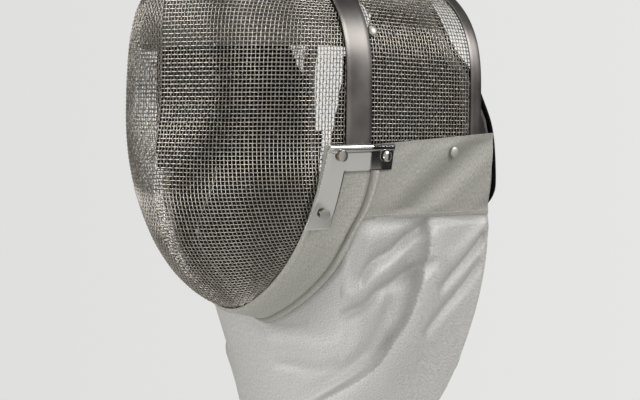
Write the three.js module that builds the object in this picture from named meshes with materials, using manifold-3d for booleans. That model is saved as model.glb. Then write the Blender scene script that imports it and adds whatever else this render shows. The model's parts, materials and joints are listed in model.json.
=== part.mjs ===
// A sabre fencing mask: a pressed wire face bowl and a wire tunnel over the head, joined by steel
// bands, with a metallic cloth bib, padding inside and a sprung tongue behind the head.
// Millimetres, +Z up, the face towards -Y and the wearer's left towards +X.
// The origin is the seat under the crown, where the mask rests on the head.

import * as THREE from "three";
import { mergeVertices } from "three/addons/utils/BufferGeometryUtils.js";
import Module from "manifold-3d";

const wasm = await Module();
wasm.setup();

// Oval of the mask, seen from the front
const HALF_WIDTH = 96.2;
const CROWN_Z = 11;
const WIDEST_Z = -80;
const CHIN_Z = -254;
const CROWN_ROUND = 2.5;
const JAW_FALL = 3.2;
const JAW_ROUND = 0.7;

// Face bowl
const MESH_WALL = 2;
const FACE_DEPTH = 110;
const FOREHEAD_Z = -60;
const FOREHEAD_ROUND = 4.2;
const CREASE_RISE = 10;
const CREASE_FADE = 2.5;
const BAND_GAP = 0.6;
const EAR_STEP = { top: -130, bottom: -142 };
const RIM = { topZ: -126, topY: -27, chinY: -41 };
const CHIN_INSET = 1.2;

// Wire tunnel over the head
const REAR_Y = 124;
const REAR_SPREAD = 1.04;
const REAR_CROWN_DROP = 8;
const REAR_BOTTOM_Z = -142;
const REAR_OVERRUN = 1.1;

// Steel
const BAND_WIDTH = 25;
const BAND_THICK = 1.2;
const BAND_BOTTOM_Z = -138;
const REAR_BAND_WIDTH = 12;
const REAR_BAND_LIP = 8;
const REAR_BAND_THICK = 1;
const FIT = 0.3;
const BRACKET = { topZ: -126, leg: 19.5, thick: 1, roll: 0.8, ahead: 5, slant: 4 };
const BRACKET_ACROSS = [0, 2.5, 8, 14, BRACKET.leg, 34, 50, 65];
const BRACKET_DOWN = [0, 2.5, 8, 14, BRACKET.leg, 34, 48, 61];
const BRACKET_LIFT = { top: 4.6, bottom: 4 };
const RIVET = { head: 3.8, rise: 2.1, shank: 1.8, tail: 3, tailThick: 0.7, sides: 8 };
const RIVET_SHOULDER = { radius: 0.7, rise: 0.8 };
const RIVET_HOLE = { radius: 2.2, length: 44 };

// Cloth
const CLOTH_WALL = 1.6;
const LIP = { width: 6, extra: 0.8, aimZ: -120, reach: 0.4 };
const TRIM_ACROSS = [0, 0.5, 1, 2, 3];
const JAW_LIFT = 0.7;
const EAR_LIFT = 1.8;
const EARWARD = { from: 0.5, to: 0.86 };
const SEAM_GAP = 1;
const TUCK = { lift: -3.2, down: 0.1 };
const FLAP = { frontTopZ: -126, rearTopZ: -118.5, bottomZ: -181, rearX: 99.5, topY: 137, bottomY: 131 };

// Padding and tongue
const PAD_CLEAR = 4.6;
const FOREHEAD_PAD = { bottomZ: -54, thick: 6.4 };
const SIDE_PAD = { frontY: -30, rearY: 114, bottomZ: -134, thick: 8 };
const SIDE_PAD_TOP = { frontZ: -60, riseY: 2, highY: 40, highZ: -16, fallY: 62, rearZ: -70 };
const TONGUE = { halfWidth: 36, shell: 2, pad: 5, round: 26, square: 0.94 };
const TONGUE_RIVET = { y: 102, drop: 6, reach: 17 };

// Cells of the faceted walls
const CELLS = {
  face: { down: 25, half: 11 },
  rear: { back: 4, half: 16 },
  band: { back: 2, half: 22 },
  rearBand: { half: 18 },
  trim: { along: 34 },
  flap: { back: 9, down: 3 },
  bib: { along: 40, down: 10 },
  forehead: { down: 8, half: 6 },
  sidePad: { back: 8, up: 6 },
  tongue: { down: 15, across: 4 },
};
const SECTION_STEPS = 60;
const CREASE_STEPS = 400;
const FOLD_STEPS = 14;
const SEARCH_STEPS = 30;
const SLOPE_STEP = 1.5;

// Crease down the middle of the face below the forehead, and how round the face is at each height
const CREASE = [
  { z: -60, y: -110, round: 3.1 },
  { z: -98, y: -111.5, round: 3.05 },
  { z: -132, y: -116.5, round: 2.5 },
  { z: -152, y: -118.5, round: 2.15 },
  { z: -165, y: -118.5, round: 1.97 },
  { z: -183, y: -114, round: 1.85 },
  { z: -200, y: -108, round: 1.75 },
  { z: -219, y: -94, round: 1.85 },
  { z: -232, y: -80, round: 2.1 },
  { z: -247, y: -59, round: 2.6 },
  { z: -254, y: -41, round: 2.8 },
];

// Cloth trim from ear to chin: the height on the wire rim, and the seam across from it
const TRIM = [
  { rimZ: -126, seamX: 96, seamY: 18, seamZ: -126 },
  { rimZ: -140, seamX: 96.3, seamY: 19, seamZ: -147 },
  { rimZ: -154, seamX: 96.5, seamY: 15, seamZ: -161 },
  { rimZ: -170, seamX: 96.5, seamY: 9, seamZ: -174 },
  { rimZ: -189, seamX: 94.5, seamY: -1, seamZ: -190 },
  { rimZ: -200, seamX: 91, seamY: -6, seamZ: -202 },
  { rimZ: -214, seamX: 80, seamY: -7, seamZ: -216 },
  { rimZ: -227, seamX: 64, seamY: -7, seamZ: -229 },
  { rimZ: -239, seamX: 46, seamY: -7, seamZ: -241 },
  { rimZ: -249, seamX: 24, seamY: -8, seamZ: -253 },
  { rimZ: -254, seamX: 0, seamY: -9, seamZ: -261 },
];

// Bib from chin to rear edge: its upper edge, tucked behind the trim and the flap, and its hem
const DRAPE = [
  { topX: 0, topY: -9, topZ: -261, hemX: 0, hemY: 2, hemZ: -362 },
  { topX: 24, topY: -8, topZ: -253, hemX: 25, hemY: 5, hemZ: -362 },
  { topX: 46, topY: -7, topZ: -241, hemX: 46, hemY: 13, hemZ: -362 },
  { topX: 64, topY: -7, topZ: -229, hemX: 62, hemY: 25, hemZ: -361 },
  { topX: 80, topY: -7, topZ: -216, hemX: 73, hemY: 38, hemZ: -360 },
  { topX: 91, topY: -6, topZ: -202, hemX: 80, hemY: 49, hemZ: -356 },
  { topX: 96, topY: 4, topZ: -182, hemX: 84, hemY: 60, hemZ: -350 },
  { topX: 97, topY: 38, topZ: -181, hemX: 86, hemY: 73, hemZ: -341 },
  { topX: 98, topY: 75, topZ: -181, hemX: 88, hemY: 87, hemZ: -327 },
  { topX: 99, topY: 110, topZ: -181, hemX: 89, hemY: 99, hemZ: -311 },
  { topX: 99.5, topY: 131, topZ: -181, hemX: 90, hemY: 107, hemZ: -296 },
];
const REAR_BULGE = { depth: 9, from: 0.6 };

// Folds of the bib: places along it, 0 at the chin and 1 at the rear edge, and down it, 0 to 1
const FOLDS = [
  { from: [0.83, 0.02], bend: [0.82, 0.5], to: [0.42, 0.86], width: 8, height: 5 },
  { from: [0.79, 0.04], bend: [0.77, 0.42], to: [0.4, 0.7], width: 7, height: -4 },
  { from: [0.74, 0.1], bend: [0.66, 0.25], to: [0.5, 0.32], width: 7, height: 3 },
  { from: [0.98, 0.2], bend: [0.92, 0.36], to: [0.83, 0.5], width: 8, height: -3 },
];
const FOLD_FADE = 4;

// Tongue from under the rear mesh to its lower end
const TONGUE_LINE = [
  { y: 92, z: -4.5 },
  { y: 122, z: -7 },
  { y: 141, z: -27 },
  { y: 160, z: -53 },
  { y: 178, z: -70 },
  { y: 192, z: -93 },
  { y: 203, z: -118 },
  { y: 206.5, z: -152 },
  { y: 205, z: -178 },
  { y: 201, z: -187 },
];

// Rivets of one side: place on the side of the mask, lift of the head, and reach of the shank
const RIVETS = [
  { name: "bracket_rivet_front", y: -20, z: -134, lift: 5.7, reach: 8.8 },
  { name: "bracket_rivet_rear", y: 23, z: -135, lift: 5.7, reach: 9.3 },
  { name: "bracket_rivet_lower", y: -32, z: -177, lift: 5.2, reach: 7.8 },
  { name: "crown_rivet", y: 16.8, z: -42, lift: 0.1, reach: 2.9 },
  { name: "flap_rivet", y: 93.5, z: -133, lift: 3.5, reach: 6.7 },
];

const STEEL = { color: 0x8f8a82, metalness: 1, roughness: 0.28 };
const WIRE = { color: 0xb9b3a6, metalness: 1, roughness: 0.35 };
const CLOTH = { color: 0xb4b2a8, metalness: 0.3, roughness: 0.6 };
const GREY_PAD = { color: 0x9a978f, metalness: 0, roughness: 0.9 };
const BLACK_PAD = { color: 0x1c1b19, metalness: 0, roughness: 0.9 };

// Inside of the head space, which every wall faces away from
const HOLLOW = new THREE.Vector3(0, 20, -110);

const lerp = THREE.MathUtils.lerp;
const clamp = THREE.MathUtils.clamp;
const smoothstep = THREE.MathUtils.smoothstep;

// A smooth value read from a table whose key column falls from row to row
function readTable(rows, key, value, at) {
  let i = 0;
  while (i < rows.length - 2 && at < rows[i + 1][key]) i++;
  const slope = (k) => {
    const a = rows[Math.max(k - 1, 0)];
    const b = rows[Math.min(k + 1, rows.length - 1)];
    return (b[value] - a[value]) / (b[key] - a[key]);
  };
  const span = rows[i + 1][key] - rows[i][key];
  const t = clamp((at - rows[i][key]) / span, 0, 1);
  const start = (1 + 2 * t) * (1 - t) ** 2 * rows[i][value] + t * (1 - t) ** 2 * span * slope(i);
  const end = t * t * (3 - 2 * t) * rows[i + 1][value] + t * t * (t - 1) * span * slope(i + 1);
  return start + end;
}

// Points spread evenly along a line of many points
function spread(line, count) {
  const along = [0];
  for (let i = 1; i < line.length; i++) {
    along.push(along[i - 1] + line[i].distanceTo(line[i - 1]));
  }
  const total = along[along.length - 1];
  const points = [];
  let i = 1;
  for (let k = 0; k <= count; k++) {
    const at = (total * k) / count;
    while (i < line.length - 1 && along[i] < at) i++;
    const length = along[i] - along[i - 1];
    const part = length > 0 ? (at - along[i - 1]) / length : 0;
    points.push(line[i - 1].clone().lerp(line[i], clamp(part, 0, 1)));
  }
  return points;
}

function ovalHalfWidth(z) {
  if (z >= WIDEST_Z) {
    const up = Math.min((z - WIDEST_Z) / (CROWN_Z - WIDEST_Z), 1);
    return HALF_WIDTH * (1 - up ** CROWN_ROUND) ** (1 / CROWN_ROUND);
  }
  const down = Math.min((WIDEST_Z - z) / (WIDEST_Z - CHIN_Z), 1);
  return HALF_WIDTH * (1 - down ** JAW_FALL) ** JAW_ROUND;
}

// Edge of the wire on the jaw, carried up to the crown
function rimLine(z) {
  return lerp(RIM.topY, RIM.chinY, (z - RIM.topZ) / (CHIN_Z - RIM.topZ));
}

function faceRound(z) {
  return readTable(CREASE, "z", "round", Math.min(z, FOREHEAD_Z));
}

function creaseY(z) {
  if (z <= FOREHEAD_Z) return readTable(CREASE, "z", "y", z);
  const up = Math.min((z - FOREHEAD_Z) / (CROWN_Z - FOREHEAD_Z), 1);
  const back = rimLine(CROWN_Z);
  return back - (FACE_DEPTH + back) * (1 - up ** FOREHEAD_ROUND) ** (1 / FOREHEAD_ROUND);
}

// Edge of the bowl: under the band above the ears, with a step forward at the ears
function bowlEdge(z) {
  const step = smoothstep(-z, -EAR_STEP.top, -EAR_STEP.bottom);
  return lerp(-BAND_GAP, rimLine(z), step);
}

// Half of the bowl at one height, from the crease to its edge
function faceSection(z, count) {
  const width = ovalHalfWidth(z);
  const round = faceRound(z);
  const depth = rimLine(z) - creaseY(z);
  const crease = (CREASE_RISE * depth) / FACE_DEPTH;
  const line = [];
  for (let k = 0; k <= SECTION_STEPS; k++) {
    const angle = ((Math.PI / 2) * k) / SECTION_STEPS;
    const across = Math.sin(angle) ** (2 / round);
    const ahead = (depth - crease) * Math.max(Math.cos(angle), 0) ** (2 / round);
    const y = rimLine(z) - ahead - crease * (1 - across) ** CREASE_FADE;
    line.push(new THREE.Vector3(width * across, y, z));
  }
  if (bowlEdge(z) - rimLine(z) > FIT) line.push(new THREE.Vector3(width, bowlEdge(z), z));
  return spread(line, count);
}

// Heights spread evenly along the crease, between two heights
function creaseHeights(fromZ, toZ, count) {
  const line = [];
  for (let k = 0; k <= CREASE_STEPS; k++) {
    const turn = (1 - Math.cos((Math.PI * k) / CREASE_STEPS)) / 2;
    const z = lerp(fromZ, toZ, turn);
    line.push(new THREE.Vector3(0, creaseY(z), z));
  }
  return spread(line, count).map((p) => p.z);
}

// Half of the oval behind the face, from the crown down to a height
function hoopLine(bottomZ, count) {
  const line = [];
  for (let k = 0; k <= SECTION_STEPS; k++) {
    const angle = ((Math.PI / 2) * k) / SECTION_STEPS;
    const x = HALF_WIDTH * Math.sin(angle) ** (2 / CROWN_ROUND);
    const rise = (CROWN_Z - WIDEST_Z) * Math.max(Math.cos(angle), 0) ** (2 / CROWN_ROUND);
    line.push(new THREE.Vector3(x, 0, WIDEST_Z + rise));
  }
  for (let k = 1; k <= SECTION_STEPS; k++) {
    const z = lerp(WIDEST_Z, bottomZ, k / SECTION_STEPS);
    line.push(new THREE.Vector3(ovalHalfWidth(z), 0, z));
  }
  return spread(line, count);
}

// A point of the hoop carried back to a place on the tunnel
function tunnelPoint(hoop, y) {
  const back = clamp(y / REAR_Y, 0, REAR_OVERRUN);
  const rise = (hoop.z - REAR_BOTTOM_Z) / (CROWN_Z - REAR_BOTTOM_Z);
  return new THREE.Vector3(hoop.x * lerp(1, REAR_SPREAD, back), y, hoop.z - REAR_CROWN_DROP * back * rise);
}

// The outer side of the mask under its cloth, at a place seen from the side
function sidePoint(y, z) {
  const rim = rimLine(z);
  const ahead = clamp((rim - y) / FACE_DEPTH, 0, 1);
  const round = faceRound(z);
  let x = ovalHalfWidth(z) * (1 - ahead ** round) ** (1 / round);
  if (z > RIM.topZ && y > 0) {
    const back = y / REAR_Y;
    const rise = (z - REAR_BOTTOM_Z) / (CROWN_Z - REAR_BOTTOM_Z);
    x = ovalHalfWidth(z + REAR_CROWN_DROP * back * rise) * lerp(1, REAR_SPREAD, back);
  }
  if (z <= RIM.topZ && y > rim) {
    const seamX = readTable(TRIM, "seamZ", "seamX", z);
    const seamY = readTable(TRIM, "seamZ", "seamY", z);
    if (y < seamY) x = lerp(x, seamX, (y - rim) / (seamY - rim));
    else x = lerp(seamX, FLAP.rearX, (y - seamY) / (FLAP.topY - seamY));
  }
  return new THREE.Vector3(x, y, z);
}

function sideNormal(y, z) {
  const alongY = sidePoint(y + SLOPE_STEP, z).sub(sidePoint(y - SLOPE_STEP, z));
  const alongZ = sidePoint(y, z + SLOPE_STEP).sub(sidePoint(y, z - SLOPE_STEP));
  return alongY.cross(alongZ).normalize();
}

// A rectangle of points, from a function of two shares
function patch(rows, columns, place) {
  const points = [];
  for (let r = 0; r <= rows; r++) {
    const line = [];
    for (let c = 0; c <= columns; c++) {
      line.push(place(r / rows, c / columns));
    }
    points.push(line);
  }
  return points;
}

// Directions out of a patch, away from the head
function patchNormals(points) {
  const last = points.length - 1;
  return points.map((line, r) =>
    line.map((p, c) => {
      const down = points[Math.min(r + 1, last)][c].clone().sub(points[Math.max(r - 1, 0)][c]);
      const along = line[Math.min(c + 1, line.length - 1)].clone().sub(line[Math.max(c - 1, 0)]);
      const normal = down.cross(along).normalize();
      return normal.dot(p.clone().sub(HOLLOW)) < 0 ? normal.negate() : normal;
    })
  );
}

function volumeOf(positions, faces) {
  const [a, b, c] = [new THREE.Vector3(), new THREE.Vector3(), new THREE.Vector3()];
  let total = 0;
  for (let i = 0; i < faces.length; i += 3) {
    a.fromArray(positions, 3 * faces[i]);
    b.fromArray(positions, 3 * faces[i + 1]);
    c.fromArray(positions, 3 * faces[i + 2]);
    total += a.dot(b.cross(c));
  }
  return total / 6;
}

// A closed body from points and faces, with its faces turned outwards
function closedBody(points, faces) {
  const positions = points.flatMap((p) => [p.x, p.y, p.z]);
  if (volumeOf(positions, faces) < 0) {
    for (let i = 0; i < faces.length; i += 3) {
      [faces[i], faces[i + 1]] = [faces[i + 1], faces[i]];
    }
  }
  const geometry = new THREE.BufferGeometry();
  geometry.setAttribute("position", new THREE.Float32BufferAttribute(positions, 3));
  geometry.setIndex(faces);
  return geometry;
}

// A wall on a patch: it starts at a lift from the patch and has a thickness outwards.
// Lift and thickness are numbers or functions of two shares. A mask leaves cells out, and a fold
// joins the two halves of the first row over the crown.
function wall(points, lift, thick, { mask = () => true, fold = false } = {}) {
  const rows = points.length - 1;
  const columns = points[0].length - 1;
  const normals = patchNormals(points);
  if (fold) normals[0].forEach((normal) => normal.set(0, 0, 1));
  const amount = (value, r, c) => (typeof value === "function" ? value(r / rows, c / columns) : value);
  const used = new Map();
  const body = [];
  const corner = (side, r, column) => {
    const c = fold && r === 0 ? Math.min(column, columns - column) : column;
    const key = `${side} ${r} ${c}`;
    if (!used.has(key)) {
      const out = amount(lift, r, c) + (side === "outer" ? amount(thick, r, c) : 0);
      body.push(points[r][c].clone().addScaledVector(normals[r][c], out));
      used.set(key, body.length - 1);
    }
    return used.get(key);
  };
  const inside = (r, c) => r >= 0 && c >= 0 && r < rows && c < columns && mask(r, c);
  const faces = [];
  const quad = (a, b, c, d) => faces.push(a, b, c, a, c, d);
  const rim = (r0, c0, r1, c1) => {
    const outer = [corner("outer", r0, c0), corner("outer", r1, c1)];
    quad(...outer, corner("inner", r1, c1), corner("inner", r0, c0));
  };
  for (let r = 0; r < rows; r++) {
    for (let c = 0; c < columns; c++) {
      if (!inside(r, c)) continue;
      const ring = [[r, c], [r, c + 1], [r + 1, c + 1], [r + 1, c]];
      quad(...ring.map(([i, j]) => corner("outer", i, j)));
      quad(...ring.reverse().map(([i, j]) => corner("inner", i, j)));
      if (!inside(r - 1, c) && !(fold && r === 0)) rim(r, c + 1, r, c);
      if (!inside(r + 1, c)) rim(r + 1, c, r + 1, c + 1);
      if (!inside(r, c - 1)) rim(r, c, r + 1, c);
      if (!inside(r, c + 1)) rim(r + 1, c + 1, r, c + 1);
    }
  }
  return closedBody(body, faces);
}

// A bar whose section is a closed loop of points at each of its stations
function sweep(loops, capFaces) {
  const size = loops[0].length;
  const faces = [];
  for (let k = 0; k < loops.length - 1; k++) {
    for (let i = 0; i < size; i++) {
      const j = (i + 1) % size;
      const [a, b, c, d] = [k * size + i, k * size + j, (k + 1) * size + j, (k + 1) * size + i];
      faces.push(a, b, c, a, c, d);
    }
  }
  const end = (loops.length - 1) * size;
  for (const [a, b, c] of capFaces) {
    faces.push(b, a, c, end + a, end + b, end + c);
  }
  return closedBody(loops.flat(), faces);
}

function mirrored(geometry) {
  const copy = geometry.clone();
  copy.applyMatrix4(new THREE.Matrix4().makeScale(-1, 1, 1));
  const index = copy.index.array;
  for (let i = 0; i < index.length; i += 3) {
    [index[i], index[i + 1]] = [index[i + 1], index[i]];
  }
  return copy;
}

function solidOf(geometry) {
  const bare = geometry.clone();
  bare.deleteAttribute("normal");
  bare.deleteAttribute("uv");
  const merged = mergeVertices(bare);
  const vertProperties = new Float32Array(merged.attributes.position.array);
  const triVerts = new Uint32Array(merged.index.array);
  return new wasm.Manifold(new wasm.Mesh({ numProp: 3, vertProperties, triVerts }));
}

// Holes for rivets through a piece
function pierced(geometry, holes) {
  let solid = solidOf(geometry);
  for (const hole of holes) {
    solid = solid.subtract(solidOf(hole));
  }
  const mesh = solid.getMesh();
  const result = new THREE.BufferGeometry();
  result.setAttribute("position", new THREE.Float32BufferAttribute(mesh.vertProperties, 3));
  result.setIndex(Array.from(mesh.triVerts));
  return result;
}

const mask = new THREE.Group();

function add(name, geometry, look) {
  const mesh = new THREE.Mesh(geometry, new THREE.MeshStandardMaterial(look));
  mesh.name = name;
  mask.add(mesh);
  return mesh;
}

// Rivets: where each stands, how it is turned, and the hole it needs
const UP = new THREE.Vector3(0, 1, 0);

function rivetBody(reach) {
  const profile = [
    [0, -reach - RIVET.tailThick],
    [RIVET.tail, -reach - RIVET.tailThick],
    [RIVET.tail, -reach],
    [RIVET.shank, -reach],
    [RIVET.shank, FIT],
    [RIVET.head, FIT],
    [RIVET.head * RIVET_SHOULDER.radius, FIT + RIVET.rise * RIVET_SHOULDER.rise],
    [0, FIT + RIVET.rise],
  ];
  const points = profile.map(([radius, height]) => new THREE.Vector2(radius, height));
  return new THREE.LatheGeometry(points, RIVET.sides);
}

function rivetSeat(rivet, side) {
  const normal = sideNormal(rivet.y, rivet.z);
  const point = sidePoint(rivet.y, rivet.z).addScaledVector(normal, rivet.lift);
  const flip = new THREE.Vector3(side, 1, 1);
  return { point: point.multiply(flip), normal: normal.multiply(flip) };
}

function holeAt(seat) {
  const { radius, length } = RIVET_HOLE;
  const hole = new THREE.CylinderGeometry(radius, radius, length, RIVET.sides);
  hole.applyQuaternion(new THREE.Quaternion().setFromUnitVectors(UP, seat.normal));
  return hole.translate(seat.point.x, seat.point.y, seat.point.z);
}

function holesFor(names, sides) {
  const wanted = RIVETS.filter((rivet) => names.includes(rivet.name));
  return sides.flatMap((side) => wanted.map((rivet) => holeAt(rivetSeat(rivet, side))));
}

const tongueSeat = {
  point: new THREE.Vector3(0, TONGUE_RIVET.y, CROWN_Z - TONGUE_RIVET.drop),
  normal: new THREE.Vector3(0, 0, 1),
};

// Both halves of a line that starts in the middle of the mask
function bothSides(half) {
  const right = half.slice(1).reverse().map((p) => new THREE.Vector3(-p.x, p.y, p.z));
  return [...right, ...half];
}

// Wire bowl over the face
const faceRows = creaseHeights(CROWN_Z, CHIN_Z + CHIN_INSET, CELLS.face.down);
const facePatch = faceRows.map((z) => bothSides(faceSection(z, CELLS.face.half)));
const faceWall = wall(facePatch, -MESH_WALL, MESH_WALL, { fold: true });
const jawHoles = holesFor(["bracket_rivet_front", "bracket_rivet_lower"], [1, -1]);
add("front_mesh", pierced(faceWall, jawHoles), WIRE);

// Wire tunnel over the head
const rearHoop = bothSides(hoopLine(REAR_BOTTOM_Z, CELLS.rear.half));
const rearPatch = patch(CELLS.rear.back, rearHoop.length - 1, (back, around) =>
  tunnelPoint(rearHoop[Math.round(around * (rearHoop.length - 1))], lerp(BAND_GAP, REAR_Y, back))
);
const rearHoles = holesFor(["bracket_rivet_rear", "crown_rivet", "flap_rivet"], [1, -1]);
const rearWall = wall(rearPatch, -MESH_WALL, MESH_WALL);
add("rear_mesh", pierced(rearWall, [...rearHoles, holeAt(tongueSeat)]), WIRE);

// Steel band over the joint of the two meshes
const bandHoop = bothSides(hoopLine(BAND_BOTTOM_Z, CELLS.band.half));
const bandPatch = patch(CELLS.band.back, bandHoop.length - 1, (back, around) => {
  const hoop = bandHoop[Math.round(around * (bandHoop.length - 1))];
  const y = lerp(-BAND_WIDTH / 2, BAND_WIDTH / 2, back);
  return y < 0 ? hoop.clone().setY(y) : tunnelPoint(hoop, y);
});
add("top_band", wall(bandPatch, FIT, BAND_THICK), STEEL);

// Folded steel strip round the rear edge
const foldSection = (() => {
  const outer = FIT + REAR_BAND_THICK;
  const inner = -MESH_WALL - FIT;
  const back = REAR_Y + FIT;
  const bend = back + REAR_BAND_THICK;
  return [
    new THREE.Vector2(FIT, bend - REAR_BAND_WIDTH),
    new THREE.Vector2(outer, bend - REAR_BAND_WIDTH),
    new THREE.Vector2(outer, bend - REAR_BAND_THICK),
    new THREE.Vector2(outer - REAR_BAND_THICK, bend),
    new THREE.Vector2(inner, bend),
    new THREE.Vector2(inner - REAR_BAND_THICK, bend - REAR_BAND_THICK),
    new THREE.Vector2(inner - REAR_BAND_THICK, bend - REAR_BAND_LIP),
    new THREE.Vector2(inner, bend - REAR_BAND_LIP),
    new THREE.Vector2(inner, back),
    new THREE.Vector2(FIT, back),
  ];
})();
const rearBandHoop = bothSides(hoopLine(REAR_BOTTOM_Z, CELLS.rearBand.half));
const rearEdge = patch(1, rearBandHoop.length - 1, (back, around) =>
  tunnelPoint(rearBandHoop[Math.round(around * (rearBandHoop.length - 1))], lerp(REAR_Y - 1, REAR_Y, back))
);
const rearEdgeNormals = patchNormals(rearEdge)[1];
const rearLoops = rearBandHoop.map((hoop, k) =>
  foldSection.map((v) => tunnelPoint(hoop, v.y).addScaledVector(rearEdgeNormals[k], v.x))
);
add("rear_band", sweep(rearLoops, THREE.ShapeUtils.triangulateShape(foldSection, [])), STEEL);

// Cloth trim along the jaw, from the right ear round the chin to the left ear
function trimCurve(pointOf) {
  const left = TRIM.map(pointOf);
  const right = left.slice(0, -1).map((p) => new THREE.Vector3(-p.x, p.y, p.z));
  return new THREE.CatmullRomCurve3([...right, ...left.reverse()]);
}

function faceY(x, z) {
  const across = clamp(Math.abs(x) / ovalHalfWidth(z), 0, 1);
  const round = faceRound(z);
  const depth = rimLine(z) - creaseY(z);
  const crease = (CREASE_RISE * depth) / FACE_DEPTH;
  const ahead = (depth - crease) * (1 - across ** round) ** (1 / round);
  return rimLine(z) - ahead - crease * (1 - across) ** CREASE_FADE;
}

// The place on the wire a lip's width in from its rim
function lipPoint(rim) {
  let near = 0;
  let far = LIP.reach;
  const at = (k) => {
    const x = rim.x * (1 - k);
    const z = lerp(rim.z, LIP.aimZ, k);
    return new THREE.Vector3(x, faceY(x, z), z);
  };
  for (let i = 0; i < SEARCH_STEPS; i++) {
    const middle = (near + far) / 2;
    if (at(middle).distanceTo(rim) < LIP.width) near = middle;
    else far = middle;
  }
  return at(near);
}

const rimPoint = ({ rimZ }) => new THREE.Vector3(ovalHalfWidth(rimZ), rimLine(rimZ), rimZ);
const rimCurve = trimCurve(rimPoint);
const seamCurve = trimCurve((row) => new THREE.Vector3(row.seamX, row.seamY, row.seamZ));
const trimPatch = patch(CELLS.trim.along, TRIM_ACROSS.length - 1, (along, across) => {
  const rim = rimCurve.getPoint(along);
  const step = TRIM_ACROSS[Math.round(across * (TRIM_ACROSS.length - 1))];
  if (step < 1) return lipPoint(rim).lerp(rim, step);
  return rim.lerp(seamCurve.getPoint(along), (step - 1) / 2);
});
const earward = (along) => smoothstep(Math.abs(2 * along - 1), EARWARD.from, EARWARD.to);
const trimWall = wall(
  trimPatch,
  (along, across) => lerp(JAW_LIFT, EAR_LIFT, Math.max(earward(along), smoothstep(across, 0.5, 1))),
  (along, across) => CLOTH_WALL + (across <= 0.5 ? LIP.extra * (1 - earward(along)) : 0)
);
add("bib_trim", pierced(trimWall, jawHoles), CLOTH);

// Cloth flaps behind the ears
const flapPatch = patch(CELLS.flap.back, CELLS.flap.down, (back, down) => {
  const z = lerp(lerp(FLAP.frontTopZ, FLAP.rearTopZ, back), FLAP.bottomZ, down);
  const seamY = readTable(TRIM, "seamZ", "seamY", z) + SEAM_GAP;
  const y = lerp(seamY, lerp(FLAP.topY, FLAP.bottomY, down), back);
  return sidePoint(y, Math.min(z, FLAP.frontTopZ)).setZ(z);
});
const flapHoles = holesFor(["bracket_rivet_rear", "flap_rivet"], [1]);
const flapLeft = pierced(wall(flapPatch, EAR_LIFT, CLOTH_WALL), flapHoles);
add("bib_flap_left", flapLeft, CLOTH);
add("bib_flap_right", mirrored(flapLeft), CLOTH);

// Bib below the jaw, with its folds
function bibBase(along, down) {
  const at = Math.abs(along) * (DRAPE.length - 1);
  const i = Math.min(Math.floor(at), DRAPE.length - 2);
  const t = at - i;
  const column = (name) => {
    const row = (k) => DRAPE[clamp(k, 0, DRAPE.length - 1)][name];
    const mirror = name.endsWith("X") ? -row(1) : row(1);
    const before = i === 0 ? mirror : row(i - 1);
    const [a, b, c] = [row(i), row(i + 1), row(i + 2)];
    const bend = (2 * before - 5 * a + 4 * b - c) * t * t + (3 * a - before - 3 * b + c) * t ** 3;
    return a + ((b - before) * t + bend) / 2;
  };
  const rearward = smoothstep(Math.abs(along), REAR_BULGE.from, 1);
  const bulge = REAR_BULGE.depth * 4 * down * (1 - down) * rearward;
  const x = lerp(column("topX"), column("hemX"), down) * Math.sign(along || 1);
  const y = lerp(column("topY"), column("hemY"), down) + bulge;
  return new THREE.Vector3(x, y, lerp(column("topZ"), column("hemZ"), down));
}

function foldHeight(point, side) {
  let height = 0;
  for (const fold of FOLDS) {
    let nearest = Infinity;
    for (let k = 0; k <= FOLD_STEPS; k++) {
      const t = k / FOLD_STEPS;
      const on = (i) => (1 - t) ** 2 * fold.from[i] + 2 * t * (1 - t) * fold.bend[i] + t * t * fold.to[i];
      const fade = Math.abs(2 * t - 1) ** FOLD_FADE * fold.width;
      nearest = Math.min(nearest, bibBase(side * on(0), on(1)).distanceTo(point) + fade);
    }
    height += fold.height * Math.exp(-((nearest / fold.width) ** 2));
  }
  return height;
}

const bibBasePatch = patch(CELLS.bib.along, CELLS.bib.down, (along, down) => bibBase(2 * along - 1, down));
const bibNormals = patchNormals(bibBasePatch);
const bibPatch = bibBasePatch.map((line, r) =>
  line.map((p, c) => p.clone().addScaledVector(bibNormals[r][c], foldHeight(p, p.x < 0 ? -1 : 1)))
);
const bibLift = (along, down) => lerp(TUCK.lift, EAR_LIFT, smoothstep(down, 0, TUCK.down));
add("bib", wall(bibPatch, bibLift, CLOTH_WALL), CLOTH);

// L plates at the ears, with their outer edges rolled
const bracketPatch = patch(BRACKET_DOWN.length - 1, BRACKET_ACROSS.length - 1, (down, across) => {
  const z = BRACKET.topZ - BRACKET_DOWN[Math.round(down * (BRACKET_DOWN.length - 1))];
  const front = rimLine(z) - BRACKET.ahead - BRACKET.slant * down;
  return sidePoint(front + BRACKET_ACROSS[Math.round(across * (BRACKET_ACROSS.length - 1))], z);
});
const legCells = BRACKET_ACROSS.indexOf(BRACKET.leg);
const bracketRoll = (down, across) => (down === 0 || across === 0 ? BRACKET.roll : 0);
const bracketWall = wall(
  bracketPatch,
  (down) => lerp(BRACKET_LIFT.top, BRACKET_LIFT.bottom, down),
  (down, across) => BRACKET.thick + bracketRoll(down, across),
  { mask: (r, c) => r < legCells || c < legCells }
);
const bracketNames = ["bracket_rivet_front", "bracket_rivet_rear", "bracket_rivet_lower"];
const bracketLeft = pierced(bracketWall, holesFor(bracketNames, [1]));
add("bracket_left", bracketLeft, STEEL);
add("bracket_right", mirrored(bracketLeft), STEEL);

// Rivets
for (const [side, suffix] of [[1, "left"], [-1, "right"]]) {
  for (const rivet of RIVETS) {
    const seat = rivetSeat(rivet, side);
    const mesh = add(`${rivet.name}_${suffix}`, rivetBody(rivet.reach), STEEL);
    mesh.position.copy(seat.point);
    mesh.quaternion.setFromUnitVectors(UP, seat.normal);
  }
}

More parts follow.
